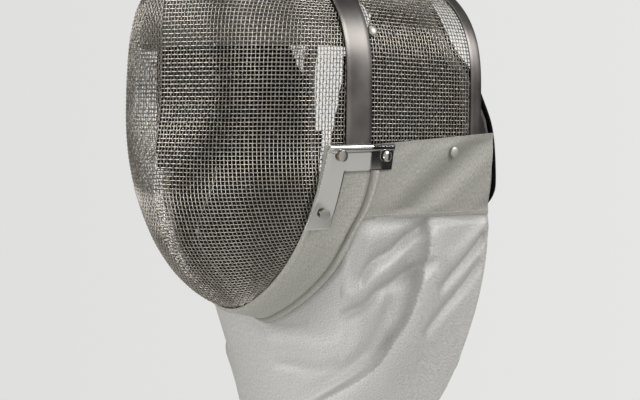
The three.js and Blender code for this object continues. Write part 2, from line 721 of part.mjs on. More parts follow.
// Pad behind the forehead and under the crown
const padRows = creaseHeights(CROWN_Z, FOREHEAD_PAD.bottomZ, CELLS.forehead.down);
const padPatch = padRows.map((z) => bothSides(faceSection(z, CELLS.forehead.half)));
const padWall = wall(padPatch, -PAD_CLEAR - FOREHEAD_PAD.thick, FOREHEAD_PAD.thick, { fold: true });
add("forehead_pad", padWall, GREY_PAD);

// Pads inside the side walls
function sidePadTop(y) {
  const rise = smoothstep(y, SIDE_PAD_TOP.riseY, SIDE_PAD_TOP.highY);
  const fall = smoothstep(y, SIDE_PAD_TOP.fallY, SIDE_PAD.rearY);
  return lerp(lerp(SIDE_PAD_TOP.frontZ, SIDE_PAD_TOP.highZ, rise), SIDE_PAD_TOP.rearZ, fall);
}

const sidePadPatch = patch(CELLS.sidePad.back, CELLS.sidePad.up, (back, up) => {
  const y = lerp(SIDE_PAD.frontY, SIDE_PAD.rearY, back);
  const z = lerp(SIDE_PAD.bottomZ, sidePadTop(y), up);
  const width = sidePoint(y, Math.max(z, RIM.topZ + 1)).x;
  return new THREE.Vector3(width, y, z);
});
const sidePadLeft = wall(sidePadPatch, -PAD_CLEAR - SIDE_PAD.thick, SIDE_PAD.thick);
add("side_pad_left", sidePadLeft, BLACK_PAD);
add("side_pad_right", mirrored(sidePadLeft), BLACK_PAD);

// Tongue behind the head, black outside with a grey pad inside
const tongueCurve = new THREE.CatmullRomCurve3(TONGUE_LINE.map((p) => new THREE.Vector3(0, p.y, p.z)));
const tongueLength = tongueCurve.getLength();
const tonguePatch = patch(CELLS.tongue.down, CELLS.tongue.across, (down, across) => {
  const point = tongueCurve.getPointAt(down);
  const fromEnd = Math.min((1 - down) * tongueLength, down * tongueLength + TONGUE.round / 2);
  const bend = clamp(1 - fromEnd / TONGUE.round, 0, TONGUE.square);
  return point.setX((2 * across - 1) * TONGUE.halfWidth * Math.sqrt(1 - bend * bend));
});
add("tongue_shell", pierced(wall(tonguePatch, 0, TONGUE.shell), [holeAt(tongueSeat)]), BLACK_PAD);
const tonguePadWall = wall(tonguePatch, -FIT - TONGUE.pad, TONGUE.pad);
add("tongue_pad", pierced(tonguePadWall, [holeAt(tongueSeat)]), GREY_PAD);
const tongueRivet = add("tongue_rivet", rivetBody(TONGUE_RIVET.reach), STEEL);
tongueRivet.position.copy(tongueSeat.point);
tongueRivet.quaternion.setFromUnitVectors(UP, tongueSeat.normal);

export default mask;
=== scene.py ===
# %% [markdown]
# # A sabre fencing mask
#
# The mask is a bowl of woven steel wire over the face, a wire tunnel over the head, two steel bands,
# steel plates at the ears and a bib of metallic cloth. A drawing of its solids is loaded first, and
# each step then makes one piece as it really looks and puts it where the solid is.

# %% Load the solids
import json
import math

import bpy
import numpy as np
from mathutils import Matrix, Vector
from mathutils.bvhtree import BVHTree

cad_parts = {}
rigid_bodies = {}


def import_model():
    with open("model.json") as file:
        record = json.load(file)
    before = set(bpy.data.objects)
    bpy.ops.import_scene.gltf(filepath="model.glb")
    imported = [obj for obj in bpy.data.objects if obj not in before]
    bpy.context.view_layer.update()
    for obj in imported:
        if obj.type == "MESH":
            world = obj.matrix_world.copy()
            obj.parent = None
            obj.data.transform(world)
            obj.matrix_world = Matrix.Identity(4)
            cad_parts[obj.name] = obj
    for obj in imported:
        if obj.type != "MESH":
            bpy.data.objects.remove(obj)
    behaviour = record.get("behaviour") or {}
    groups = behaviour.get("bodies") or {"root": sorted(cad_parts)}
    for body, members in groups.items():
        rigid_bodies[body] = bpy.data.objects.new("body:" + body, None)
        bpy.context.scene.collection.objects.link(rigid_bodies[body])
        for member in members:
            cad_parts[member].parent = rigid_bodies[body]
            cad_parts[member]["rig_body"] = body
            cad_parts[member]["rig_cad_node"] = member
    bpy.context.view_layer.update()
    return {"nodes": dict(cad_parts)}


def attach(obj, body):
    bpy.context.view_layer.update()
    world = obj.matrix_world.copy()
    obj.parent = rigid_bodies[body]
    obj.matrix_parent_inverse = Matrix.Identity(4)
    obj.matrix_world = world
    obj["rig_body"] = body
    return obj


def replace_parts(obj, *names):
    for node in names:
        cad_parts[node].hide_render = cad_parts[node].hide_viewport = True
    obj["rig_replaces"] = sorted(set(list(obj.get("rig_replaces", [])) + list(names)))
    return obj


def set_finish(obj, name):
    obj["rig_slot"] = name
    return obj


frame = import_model()
MM = 0.001
print("solids loaded:", len(frame["nodes"]))

# %% [markdown]
# ## Camera
#
# A long lens keeps the two sides of the mask nearly parallel, as a studio picture does. The camera
# stands at the wearer's left and front, a little above the middle of the mask and far away.

# %% Camera
bpy.ops.object.select_all(action="DESELECT")
bpy.ops.object.camera_add(
    location=(1.23796, -1.03026, -0.10022),
    rotation=(math.radians(87.5), 0, math.radians(49)),
)
camera = bpy.context.object
camera.name = "camera"
camera.data.lens = 116.6
camera.data.sensor_width = 36
bpy.context.scene.camera = camera
bpy.context.scene.view_settings.view_transform = "Standard"
print("camera at", [round(c, 3) for c in camera.location])

# %% [markdown]
# ## Light and floor
#
# Steel shows what stands around it, so its look is made by the lights as much as by its colour. Soft
# boxes stand in front and above, and the room is darker than the pale backdrop, so bare steel turns
# grey and its turned ends go dark. The floor is a wide pale disc well below the mask.

# %% Soft boxes
MIDDLE = Vector((0, 0.02, -0.15))


def soft_box(name, place, size, watts):
    bpy.ops.object.light_add(type="AREA", location=place)
    lamp = bpy.context.object
    lamp.name = name
    lamp.rotation_euler = (MIDDLE - lamp.location).to_track_quat("-Z", "Y").to_euler()
    lamp.data.shape = "RECTANGLE"
    lamp.data.size, lamp.data.size_y = size
    lamp.data.energy = watts


soft_box("key_light", (-1.1, -1.9, 0.7), (1.0, 1.0), 22)
soft_box("side_light", (1.7, 1.2, 0.9), (0.8, 0.9), 18)
soft_box("top_light", (0.2, 0.1, 1.9), (1.6, 1.6), 11)
soft_box("low_light", (0.6, -1.5, -0.75), (1.2, 0.5), 8)
print("lights:", len(bpy.data.lights))

# %% Backdrop
# The lens sees a pale wall. The mask sees a dim room, a light wall on its left and a dark gap beside it.
world = bpy.data.worlds.new("studio")
bpy.context.scene.world = world
world.use_nodes = True
tree = world.node_tree
tree.nodes.clear()
sky_place = tree.nodes.new("ShaderNodeTexCoord")


def wire_up(tree, start, end):
    tree.links.new(start, end)


def sky_share(direction, start, end, low, high):
    """A value that changes across the sky along a direction."""
    along = tree.nodes.new("ShaderNodeVectorMath")
    along.operation = "DOT_PRODUCT"
    along.inputs[1].default_value = direction
    wire_up(tree, sky_place.outputs["Generated"], along.inputs[0])
    scale = tree.nodes.new("ShaderNodeMapRange")
    for socket, value in zip(("From Min", "From Max", "To Min", "To Max"), (start, end, low, high)):
        scale.inputs[socket].default_value = value
    wire_up(tree, along.outputs["Value"], scale.inputs["Value"])
    return scale.outputs["Result"]


seen = tree.nodes.new("ShaderNodeBackground")
seen.inputs["Color"].default_value = (1.0, 1.0, 0.985, 1)
wire_up(tree, sky_share((0.656, 0.755, 0), -0.15, 0.15, 0.745, 0.79), seen.inputs["Strength"])
beside = tree.nodes.new("ShaderNodeMix")
wire_up(tree, sky_share((1, 0, 0), 0.25, 0.5, 0, 1), beside.inputs["Factor"])
beside.inputs["A"].default_value = 0.15
wire_up(tree, sky_share((-0.656, 0.755, 0), -0.01, 0.02, 0.48, 0.012), beside.inputs["B"])
room = tree.nodes.new("ShaderNodeBackground")
room.inputs["Color"].default_value = (1.0, 0.985, 0.96, 1)
wire_up(tree, beside.outputs["Result"], room.inputs["Strength"])
path = tree.nodes.new("ShaderNodeLightPath")
either = tree.nodes.new("ShaderNodeMixShader")
wire_up(tree, path.outputs["Is Camera Ray"], either.inputs["Fac"])
wire_up(tree, room.outputs["Background"], either.inputs[1])
wire_up(tree, seen.outputs["Background"], either.inputs[2])
sky_end = tree.nodes.new("ShaderNodeOutputWorld")
wire_up(tree, either.outputs["Shader"], sky_end.inputs["Surface"])
print("backdrop ready")

# %% [markdown]
# ## Shared effects
#
# Two effects come back in several finishes, so each is a node group: smudges, for handled metal, and
# threads, for woven cloth. A group gives out masks and heights, and each finish uses them its own way.


# %% Smudges of handled metal
def new_group(name, inputs, outputs):
    group = bpy.data.node_groups.new(name, "ShaderNodeTree")
    for label, kind, value in inputs:
        socket = group.interface.new_socket(label, in_out="INPUT", socket_type=kind)
        socket.default_value = value
    for label, kind in outputs:
        group.interface.new_socket(label, in_out="OUTPUT", socket_type=kind)
    return group, group.nodes.new("NodeGroupInput"), group.nodes.new("NodeGroupOutput")


smudges, smudge_in, smudge_out = new_group(
    "smudges",
    [("Scale", "NodeSocketFloat", 40), ("Low", "NodeSocketFloat", 0.3), ("High", "NodeSocketFloat", 0.5)],
    [("Value", "NodeSocketFloat"), ("Mask", "NodeSocketFloat")],
)
smudge_place = smudges.nodes.new("ShaderNodeTexCoord")
smudge_noise = smudges.nodes.new("ShaderNodeTexNoise")
smudge_noise.inputs["Detail"].default_value = 5
smudge_range = smudges.nodes.new("ShaderNodeMapRange")
smudge_range.inputs["From Min"].default_value = 0.3
smudge_range.inputs["From Max"].default_value = 0.7
wire_up(smudges, smudge_place.outputs["Object"], smudge_noise.inputs["Vector"])
wire_up(smudges, smudge_in.outputs["Scale"], smudge_noise.inputs["Scale"])
wire_up(smudges, smudge_noise.outputs["Fac"], smudge_range.inputs["Value"])
wire_up(smudges, smudge_in.outputs["Low"], smudge_range.inputs["To Min"])
wire_up(smudges, smudge_in.outputs["High"], smudge_range.inputs["To Max"])
wire_up(smudges, smudge_range.outputs["Result"], smudge_out.inputs["Value"])
wire_up(smudges, smudge_noise.outputs["Fac"], smudge_out.inputs["Mask"])
print("group:", smudges.name)

# %% Threads of woven cloth
# The piece's own map gives metres along and across the cloth, so the threads follow its folds.
threads, thread_in, thread_out = new_group(
    "threads",
    [(name, "NodeSocketFloat", value) for name, value in (("Pitch", 420), ("Slub", 1250), ("Length", 380))],
    [("Height", "NodeSocketFloat"), ("Dash", "NodeSocketFloat")],
)


def math_node(tree, operation, first, second):
    new = tree.nodes.new("ShaderNodeMath")
    new.operation = operation
    for socket, value in zip(new.inputs, (first, second)):
        if isinstance(value, (int, float)):
            socket.default_value = value
        else:
            wire_up(tree, value, socket)
    return new.outputs["Value"]


thread_map = threads.nodes.new("ShaderNodeUVMap")
thread_map.uv_map = "cloth"
thread_split = threads.nodes.new("ShaderNodeSeparateXYZ")
wire_up(threads, thread_map.outputs["UV"], thread_split.inputs["Vector"])
across_turn = math_node(threads, "MULTIPLY", thread_split.outputs["X"], thread_in.outputs["Pitch"])
along_turn = math_node(threads, "MULTIPLY", thread_split.outputs["Y"], thread_in.outputs["Pitch"])
across_wave = math_node(threads, "SINE", math_node(threads, "MULTIPLY", across_turn, 2 * math.pi), 0)
along_wave = math_node(threads, "SINE", math_node(threads, "MULTIPLY", along_turn, 2 * math.pi), 0)
weave_wave = math_node(threads, "MULTIPLY", across_wave, along_wave)
thread_stretch = threads.nodes.new("ShaderNodeCombineXYZ")
slub_along = math_node(threads, "MULTIPLY", thread_split.outputs["X"], thread_in.outputs["Slub"])
slub_across = math_node(threads, "MULTIPLY", thread_split.outputs["Y"], thread_in.outputs["Length"])
wire_up(threads, slub_along, thread_stretch.inputs["X"])
wire_up(threads, slub_across, thread_stretch.inputs["Y"])
slub_noise = threads.nodes.new("ShaderNodeTexNoise")
slub_noise.inputs["Scale"].default_value = 1
slub_noise.inputs["Detail"].default_value = 2
wire_up(threads, thread_stretch.outputs["Vector"], slub_noise.inputs["Vector"])
low_weave = math_node(threads, "MULTIPLY", weave_wave, 0.5)
weave_height = math_node(threads, "ADD", low_weave, slub_noise.outputs["Fac"])
wire_up(threads, weave_height, thread_out.inputs["Height"])
wire_up(threads, slub_noise.outputs["Fac"], thread_out.inputs["Dash"])
print("group:", threads.name)

# %% [markdown]
# ## Finishes
#
# Drawn wire, rolled steel strip, metallic cloth, grey and black pads: each finish has its own colour
# change over the surface, its own roughness and, for cloth, a fine relief. A picture of each material
# could be wrapped on instead, but noise and waves stay fine however near the lens comes. The cloth also
# reads a painted shade that each piece carries, darker in its hollows and creases and lighter on its
# ridges. The black pads are darker than black cloth, and the linings near black, as painted shade inside
# the mask.


# %% Steel finishes
def new_finish(name):
    finish = bpy.data.materials.new(name)
    finish.use_nodes = True
    return finish, finish.node_tree, finish.node_tree.nodes["Principled BSDF"]


def two_tones(tree, mask, dark, light, low=0.3, high=0.7):
    ramp = tree.nodes.new("ShaderNodeValToRGB")
    ramp.color_ramp.elements[0].position = low
    ramp.color_ramp.elements[0].color = (*dark, 1)
    ramp.color_ramp.elements[1].position = high
    ramp.color_ramp.elements[1].color = (*light, 1)
    wire_up(tree, mask, ramp.inputs["Fac"])
    return ramp.outputs["Color"]


def add_smudges(tree, scale, rough):
    """The smudges in a finish, with their own size and range of roughness."""
    marks = tree.nodes.new("ShaderNodeGroup")
    marks.node_tree = smudges
    marks.inputs["Scale"].default_value = scale
    marks.inputs["Low"].default_value, marks.inputs["High"].default_value = rough
    return marks


def steel_finish(name, dark, light, scale, rough):
    finish, tree, shader = new_finish(name)
    marks = add_smudges(tree, scale, rough)
    shader.inputs["Metallic"].default_value = 1
    wire_up(tree, two_tones(tree, marks.outputs["Mask"], dark, light), shader.inputs["Base Color"])
    wire_up(tree, marks.outputs["Value"], shader.inputs["Roughness"])
    return finish


wire_steel = steel_finish("wire_steel", (0.44, 0.415, 0.37), (0.62, 0.585, 0.525), 220, (0.18, 0.30))
band_steel = steel_finish("band_steel", (0.16, 0.15, 0.14), (0.27, 0.25, 0.235), 30, (0.30, 0.44))
plate_steel = steel_finish("plate_steel", (0.82, 0.81, 0.77), (0.90, 0.89, 0.85), 24, (0.08, 0.13))
rivet_steel = steel_finish("rivet_steel", (0.62, 0.60, 0.56), (0.72, 0.70, 0.66), 90, (0.10, 0.18))
dull_steel = steel_finish("dull_steel", (0.50, 0.49, 0.45), (0.60, 0.59, 0.55), 90, (0.42, 0.55))
print("steel finishes ready")


# %% Cloth finishes
RELIEF = 0.3


def add_relief(tree, shader, height, depth):
    bump = tree.nodes.new("ShaderNodeBump")
    bump.inputs["Strength"].default_value = RELIEF
    bump.inputs["Distance"].default_value = depth
    wire_up(tree, height, bump.inputs["Height"])
    wire_up(tree, bump.outputs["Normal"], shader.inputs["Normal"])


def cloth_finish(name, dark, light, shade, dash):
    """Woven cloth, darkened by a painted shade that a piece carries as an attribute."""
    finish, tree, shader = new_finish(name)
    weave = tree.nodes.new("ShaderNodeGroup")
    weave.node_tree = threads
    weave.inputs["Length"].default_value = dash
    add_relief(tree, shader, weave.outputs["Height"], 0.0005)
    # Painted shade: the crease attribute mixes the cloth's colour towards a dark shade tone.
    crease = tree.nodes.new("ShaderNodeAttribute")
    crease.attribute_name = "crease"
    shaded = tree.nodes.new("ShaderNodeMix")
    shaded.data_type = "RGBA"
    wire_up(tree, crease.outputs["Fac"], shaded.inputs[0])
    wire_up(tree, two_tones(tree, weave.outputs["Dash"], dark, light, 0.35, 0.62), shaded.inputs[6])
    shaded.inputs[7].default_value = (*shade, 1)
    wire_up(tree, shaded.outputs[2], shader.inputs["Base Color"])
    shader.inputs["Metallic"].default_value = 0.3
    shader.inputs["Roughness"].default_value = 0.52
    shader.inputs["Sheen Weight"].default_value = 0.15
    return finish


metal_cloth = cloth_finish(
    "metal_cloth", dark=(0.63, 0.625, 0.60), light=(0.90, 0.895, 0.87), shade=(0.22, 0.215, 0.195), dash=620
)
trim_cloth = cloth_finish(
    "trim_cloth", dark=(0.43, 0.42, 0.375), light=(0.62, 0.61, 0.555), shade=(0.16, 0.155, 0.135), dash=400
)


def pad_finish(name, dark, light, scale):
    finish, tree, shader = new_finish(name)
    marks = add_smudges(tree, scale, (0.75, 0.95))
    add_relief(tree, shader, marks.outputs["Mask"], 0.0006)
    wire_up(tree, two_tones(tree, marks.outputs["Mask"], dark, light), shader.inputs["Base Color"])
    wire_up(tree, marks.outputs["Value"], shader.inputs["Roughness"])
    shader.inputs["Specular IOR Level"].default_value = 0.12
    return finish


grey_pad_cloth = pad_finish("grey_pad_cloth", (0.13, 0.125, 0.115), (0.18, 0.172, 0.16), 900)
# Painted shade: the black pad cloth is darker than black cloth, for the shade inside the mask.
black_pad_and_shade = pad_finish("black_pad_and_shade", (0.003, 0.003, 0.0028), (0.006, 0.0056, 0.0052), 900)
black_cover = pad_finish("black_cover", (0.008, 0.0075, 0.007), (0.014, 0.013, 0.012), 500)
# Painted shade: the lining on the inner faces of the cloth is near black, for the shade inside the mask.
painted_shade_lining = pad_finish("painted_shade_lining", (0.010, 0.0095, 0.009), (0.018, 0.017, 0.016), 800)
print("finishes:", len(bpy.data.materials))

# %% [markdown]
# ## The shape of the mask
#
# Every piece follows two surfaces: the bowl over the face and the tunnel over the head. Both are
# written here as functions, in millimetres, so a piece can be as fine as its look needs.

# %% Oval, rim and crease
HALF_WIDTH, CROWN_Z, WIDEST_Z, CHIN_Z = 96.2, 11.0, -80.0, -254.0
CROWN_ROUND, JAW_FALL, JAW_ROUND = 2.5, 3.2, 0.7
RIM_TOP_Z, RIM_TOP_Y, RIM_CHIN_Y = -126.0, -27.0, -41.0
FACE_DEPTH, FOREHEAD_Z, FOREHEAD_ROUND = 110.0, -60.0, 4.2
CREASE_RISE, CREASE_FADE = 10.0, 2.5
EDGE_Y, EDGE_TURNS = -0.6, (130, 142)
# Crease: height, place, and how round the face is there
CREASE = np.array([
    (-60, -110, 3.1), (-98, -111.5, 3.05), (-132, -116.5, 2.5), (-152, -118.5, 2.15),
    (-165, -118.5, 1.97), (-183, -114, 1.85), (-200, -108, 1.75), (-219, -94, 1.85),
    (-232, -80, 2.1), (-247, -59, 2.6), (-254, -41, 2.8),
])


def lerp(a, b, t):
    return a + (b - a) * t


def smoothstep(value, low, high):
    t = np.clip((value - low) / (high - low), 0, 1)
    return t * t * (3 - 2 * t)


def bell(distance, width):
    return np.exp(-((distance / width) ** 2))


def read_table(rows, column, at):
    """A smooth value from a table whose first column falls from row to row."""
    keys, values = rows[:, 0], rows[:, column]
    slopes = np.gradient(values, keys)
    slopes[1:-1] = (values[2:] - values[:-2]) / (keys[2:] - keys[:-2])
    at = np.asarray(at, float)
    i = np.clip(np.searchsorted(-keys, -at, side="right") - 1, 0, len(keys) - 2)
    span = keys[i + 1] - keys[i]
    t = np.clip((at - keys[i]) / span, 0, 1)
    start = (1 + 2 * t) * (1 - t) ** 2 * values[i] + t * (1 - t) ** 2 * span * slopes[i]
    end = t * t * (3 - 2 * t) * values[i + 1] + t * t * (t - 1) * span * slopes[i + 1]
    return start + end


def oval_half_width(z):
    up = np.clip((z - WIDEST_Z) / (CROWN_Z - WIDEST_Z), 0, 1)
    down = np.clip((WIDEST_Z - z) / (WIDEST_Z - CHIN_Z), 0, 1)
    upper = (1 - up ** CROWN_ROUND) ** (1 / CROWN_ROUND)
    lower = (1 - down ** JAW_FALL) ** JAW_ROUND
    return HALF_WIDTH * np.where(np.asarray(z) >= WIDEST_Z, upper, lower)


def rim_line(z):
    return lerp(RIM_TOP_Y, RIM_CHIN_Y, (z - RIM_TOP_Z) / (CHIN_Z - RIM_TOP_Z))


def face_round(z):
    return read_table(CREASE, 2, np.minimum(z, FOREHEAD_Z))


def crease_y(z):
    up = np.clip((z - FOREHEAD_Z) / (CROWN_Z - FOREHEAD_Z), 0, 1)
    back = rim_line(CROWN_Z)
    above = back - (FACE_DEPTH + back) * (1 - up ** FOREHEAD_ROUND) ** (1 / FOREHEAD_ROUND)
    return np.where(np.asarray(z) <= FOREHEAD_Z, read_table(CREASE, 1, z), above)


def bowl_edge(z):
    return lerp(EDGE_Y, rim_line(z), smoothstep(-z, *EDGE_TURNS))


def face_y(x, z):
    across = np.clip(np.abs(x) / oval_half_width(z), 0, 1)
    turn = face_round(z)
    depth = rim_line(z) - crease_y(z)
    crease = CREASE_RISE * depth / FACE_DEPTH
    ahead = (depth - crease) * (1 - across ** turn) ** (1 / turn)
    return rim_line(z) - ahead - crease * (1 - across) ** CREASE_FADE


print("half width at the jaw:", round(float(oval_half_width(-200)), 1))


# %% Bowl sections, hoops and sides
def lengths_along(line):
    steps = np.linalg.norm(np.diff(line, axis=0), axis=1)
    return np.concatenate([[0], np.cumsum(steps)])


def values_at(lengths, along, values):
    return np.stack([np.interp(lengths, along, values[:, k]) for k in range(3)], axis=1)


def spread(line, count):
    """Points spread evenly along a line of many points."""
    along = lengths_along(line)
    return values_at(np.linspace(0, along[-1], count + 1), along, line)


def face_section(z, count, beyond=0.0):
    """Half of the bowl at one height, from the crease to its edge and a little beyond."""
    angle = np.linspace(0, math.pi / 2, 121)
    turn = float(face_round(z))
    depth = float(rim_line(z) - crease_y(z))
    crease = CREASE_RISE * depth / FACE_DEPTH
    across = np.sin(angle) ** (2 / turn)
    ahead = (depth - crease) * np.clip(np.cos(angle), 0, 1) ** (2 / turn)
    width = float(oval_half_width(z))
    y = rim_line(z) - ahead - crease * (1 - across) ** CREASE_FADE
    line = np.stack([width * across, y, np.full(121, z)], axis=1)
    end = max(float(bowl_edge(z)), float(rim_line(z)) + 0.01) + beyond
    return spread(np.vstack([line, [width, end, z]]), count)


def crease_heights(from_z, to_z, count):
    turn = (1 - np.cos(np.linspace(0, math.pi, 1201))) / 2
    z = lerp(from_z, to_z, turn)
    return spread(np.stack([0 * z, crease_y(z), z], axis=1), count)[:, 2]


def hoop_line(bottom_z, count):
    """Half of the oval behind the face, from the crown down to a height."""
    angle = np.linspace(0, math.pi / 2, 121)
    x = HALF_WIDTH * np.sin(angle) ** (2 / CROWN_ROUND)
    rise = (CROWN_Z - WIDEST_Z) * np.clip(np.cos(angle), 0, 1) ** (2 / CROWN_ROUND)
    z = np.linspace(WIDEST_Z, bottom_z, 60)[1:]
    upper = np.stack([x, 0 * x, WIDEST_Z + rise], axis=1)
    lower = np.stack([oval_half_width(z), 0 * z, z], axis=1)
    return spread(np.vstack([upper, lower]), count)


def both_sides(half):
    return np.vstack([half[:0:-1] * (-1, 1, 1), half])


REAR_Y, REAR_SPREAD, REAR_DROP, REAR_BOTTOM_Z = 124.0, 1.04, 8.0, -142.0


def tunnel(hoop, y):
    """Points of a hoop carried back to a place on the tunnel."""
    back = np.clip(y / REAR_Y, 0, 1.1)
    rise = (hoop[..., 2] - REAR_BOTTOM_Z) / (CROWN_Z - REAR_BOTTOM_Z)
    x = hoop[..., 0] * lerp(1, REAR_SPREAD, back)
    return np.stack([x, np.broadcast_to(y, x.shape), hoop[..., 2] - REAR_DROP * back * rise], axis=-1)


print("hoop half length:", round(float(lengths_along(hoop_line(REAR_BOTTOM_Z, 200))[-1]), 1))

# %% [markdown]
# ## Woven wire over the face
#
# The bowl is a flat piece of plain wire cloth pressed over a form. The wires don't stretch, so each
# crossing stays one pitch from its neighbours, and the squares turn to diamonds where the form curves
# two ways. The crossings are found one after another in that way, and a bent wire is laid along each
# row and column, over one crossing and under the next. All the wires of one direction are one mesh.
# A picture of a weave on a plain shell would look flat where the bowl turns away from the lens.

# %% The form of the bowl
PITCH = 3.1
WIRE_RADIUS = 0.43
WIRE_DEPTH = 1.0


def bowl_form():
    """A fine surface of the bowl's left half, to lay the wires on."""
    heights = crease_heights(CROWN_Z, CHIN_Z + 0.4, 220)
    grid = np.stack([face_section(z, 110, beyond=6.0) for z in heights])
    rows, columns = grid.shape[:2]
    corner = (np.arange(rows - 1)[:, None] * columns + np.arange(columns - 1)).ravel()
    quads = np.stack([corner, corner + 1, corner + columns + 1, corner + columns], axis=1)
    return BVHTree.FromPolygons(grid.reshape(-1, 3).tolist(), quads.tolist())


form = bowl_form()
print("form ready")


# %% Crossings of the wire cloth
# A diamond may be this long, in pitches, and a crossing this far from the form, in millimetres.
FLATTEST_DIAMOND, FURTHEST_MISS = 1.96, 0.6


def lay_cloth(column, row, form, pitch):
    """The crossings of a wire cloth between its first column and its first row."""
    net = [[None] * len(row) for _ in column]
    net[0] = list(row)
    for i, start in enumerate(column):
        net[i][0] = start
    for i in range(1, len(column)):
        for j in range(1, len(row)):
            above, beside, before = net[i - 1][j], net[i][j - 1], net[i - 1][j - 1]
            if above is None or beside is None or before is None:
                break
            middle, apart = (above + beside) / 2, above - beside
            if apart.length > FLATTEST_DIAMOND * pitch:
                break
            reach = math.sqrt(pitch ** 2 - apart.length_squared / 4)
            place = above + beside - before
            for _ in range(3):
                _, normal, _, _ = form.find_nearest(place)
                away = normal.cross(apart).normalized()
                if away.dot(middle - before) < 0:
                    away.negate()
                place = middle + reach * away
            on_form, _, _, miss = form.find_nearest(place)
            if miss > FURTHEST_MISS:
                break
            net[i][j] = on_form
    return net


START_Z = -100.0
crease_line = np.array([(0, float(crease_y(z)), z) for z in crease_heights(CROWN_Z, CHIN_Z + 0.4, 3000)])
crease_line = np.vstack([[(0, 0, CROWN_Z)], crease_line])
start_row = face_section(START_Z, 2000, beyond=6.0)


def steps_along(line, pitch):
    """Points one pitch apart along a line, from its first point."""
    along = lengths_along(line)
    return [Vector(place) for place in values_at(np.arange(0, along[-1], pitch), along, line)]


middle_row = int(np.argmin(np.abs(crease_line[:, 2] - START_Z)))
upward = steps_along(crease_line[middle_row::-1], PITCH)
downward = steps_along(crease_line[middle_row:], PITCH)
sideways = steps_along(start_row, PITCH)
upper_net = lay_cloth(upward, sideways, form, PITCH)
lower_net = lay_cloth(downward, sideways, form, PITCH)
face_net = upper_net[:0:-1] + lower_net
print("face rows:", len(face_net), "half columns:", len(sideways))


# %% Bent wires
def wire_mesh(name, lines, radius, finish, sides=6):
    """One mesh of many wires. Each wire is an array of centres and an array of outward directions."""
    places, faces, total = [], [], 0
    turn = np.arange(sides) * 2 * math.pi / sides
    for centres, outward in lines:
        ahead = np.gradient(centres, axis=0)
        ahead /= np.linalg.norm(ahead, axis=1, keepdims=True)
        aside = np.cross(ahead, outward)
        aside /= np.linalg.norm(aside, axis=1, keepdims=True)
        above = np.cross(aside, ahead)
        ring = np.cos(turn)[None, :, None] * above[:, None] + np.sin(turn)[None, :, None] * aside[:, None]
        places.append((centres[:, None] + radius * ring).reshape(-1, 3))
        count = len(centres)
        first = total + np.arange(count - 1)[:, None] * sides + np.arange(sides)
        second = total + np.arange(count - 1)[:, None] * sides + (np.arange(sides) + 1) % sides
        quads = np.stack([first, first + sides, second + sides, second], axis=-1).reshape(-1, 4)
        faces.extend(quads.tolist())
        faces.append(list(range(total, total + sides)))
        faces.append(list(range(total + count * sides - 1, total + (count - 1) * sides - 1, -1)))
        total += count * sides
    mesh = bpy.data.meshes.new(name)
    mesh.from_pydata((np.vstack(places) * MM).tolist(), [], faces)
    mesh.shade_smooth()
    piece = bpy.data.objects.new(name, mesh)
    bpy.context.scene.collection.objects.link(piece)
    mesh.materials.append(finish)
    return piece


def long_runs(places, directions, least=3):
    """Stretches of a row of crossings with no gap in them."""
    runs, start = [], None
    known = [p is not None for p in places] + [False]
    for k, here in enumerate(known):
        if here and start is None:
            start = k
        if not here and start is not None:
            if k - start >= least:
                runs.append((np.array(places[start:k]), np.array(directions[start:k])))
            start = None
    return runs


def woven(net, outward, offset):
    """Wires along the rows of a net, over one crossing and under the next."""
    lines = []
    for i, (places, directions) in enumerate(zip(net, outward)):
        moved = []
        for j, (place, direction) in enumerate(zip(places, directions)):
            lift = offset * (1 if (i + j) % 2 else -1) - WIRE_DEPTH
            moved.append(None if place is None else np.array(place) + np.array(direction) * lift)
        lines.extend(long_runs(moved, [None if d is None else np.array(d) for d in directions]))
    return lines


def turned(net):
    return [list(column) for column in zip(*net)]


def place_piece(piece, slot, *nodes):
    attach(piece, "root")
    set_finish(piece, slot)
    if nodes:
        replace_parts(piece, *nodes)
    print(piece.name, "has", len(piece.data.polygons), "faces")


def woven_cloth(names, rows, directions, node):
    """The two meshes of a wire cloth. The first one stands for the solid."""
    along, across = names
    weft = wire_mesh(along, woven(rows, directions, WIRE_RADIUS), WIRE_RADIUS, wire_steel)
    warp = wire_mesh(across, woven(turned(rows), turned(directions), -WIRE_RADIUS), WIRE_RADIUS, wire_steel)
    place_piece(weft, "wire", node)
    place_piece(warp, "wire")


# %% Wires of the bowl
IN_THE_HEAD, EDGE_GAP = (0, 20, -110), 0.2


def outward_of(place):
    _, normal, _, _ = form.find_nearest(place)
    return normal if normal.dot(place - Vector(IN_THE_HEAD)) > 0 else -normal


def mirrored_row(row):
    flip = [None if p is None else Vector((-p.x, p.y, p.z)) for p in row[:0:-1]]
    return flip + row


def inside_bowl(place):
    return place is not None and place.y <= float(bowl_edge(place.z)) - EDGE_GAP


face_half = [[p if inside_bowl(p) else None for p in row] for row in face_net]
face_outward = [[None if p is None else outward_of(p) for p in row] for row in face_half]
face_rows = [mirrored_row(row) for row in face_half]
face_directions = [mirrored_row(row) for row in face_outward]
woven_cloth(("front_mesh_weft", "front_mesh_warp"), face_rows, face_directions, "front_mesh")

# %% [markdown]
# ## Woven wire over the head
#
# The tunnel curves one way only, so its cloth needs no pressing: hoops stand at equal steps from front
# to back, and straight wires run across them. The crossings come straight from the function.

# %% Wires of the tunnel
REAR_PITCH = 3.0
rear_hoop = both_sides(hoop_line(REAR_BOTTOM_Z, 68))
rear_steps = np.arange(1.5, REAR_Y, REAR_PITCH)
rear_grid = np.stack([tunnel(rear_hoop, y) for y in rear_steps])


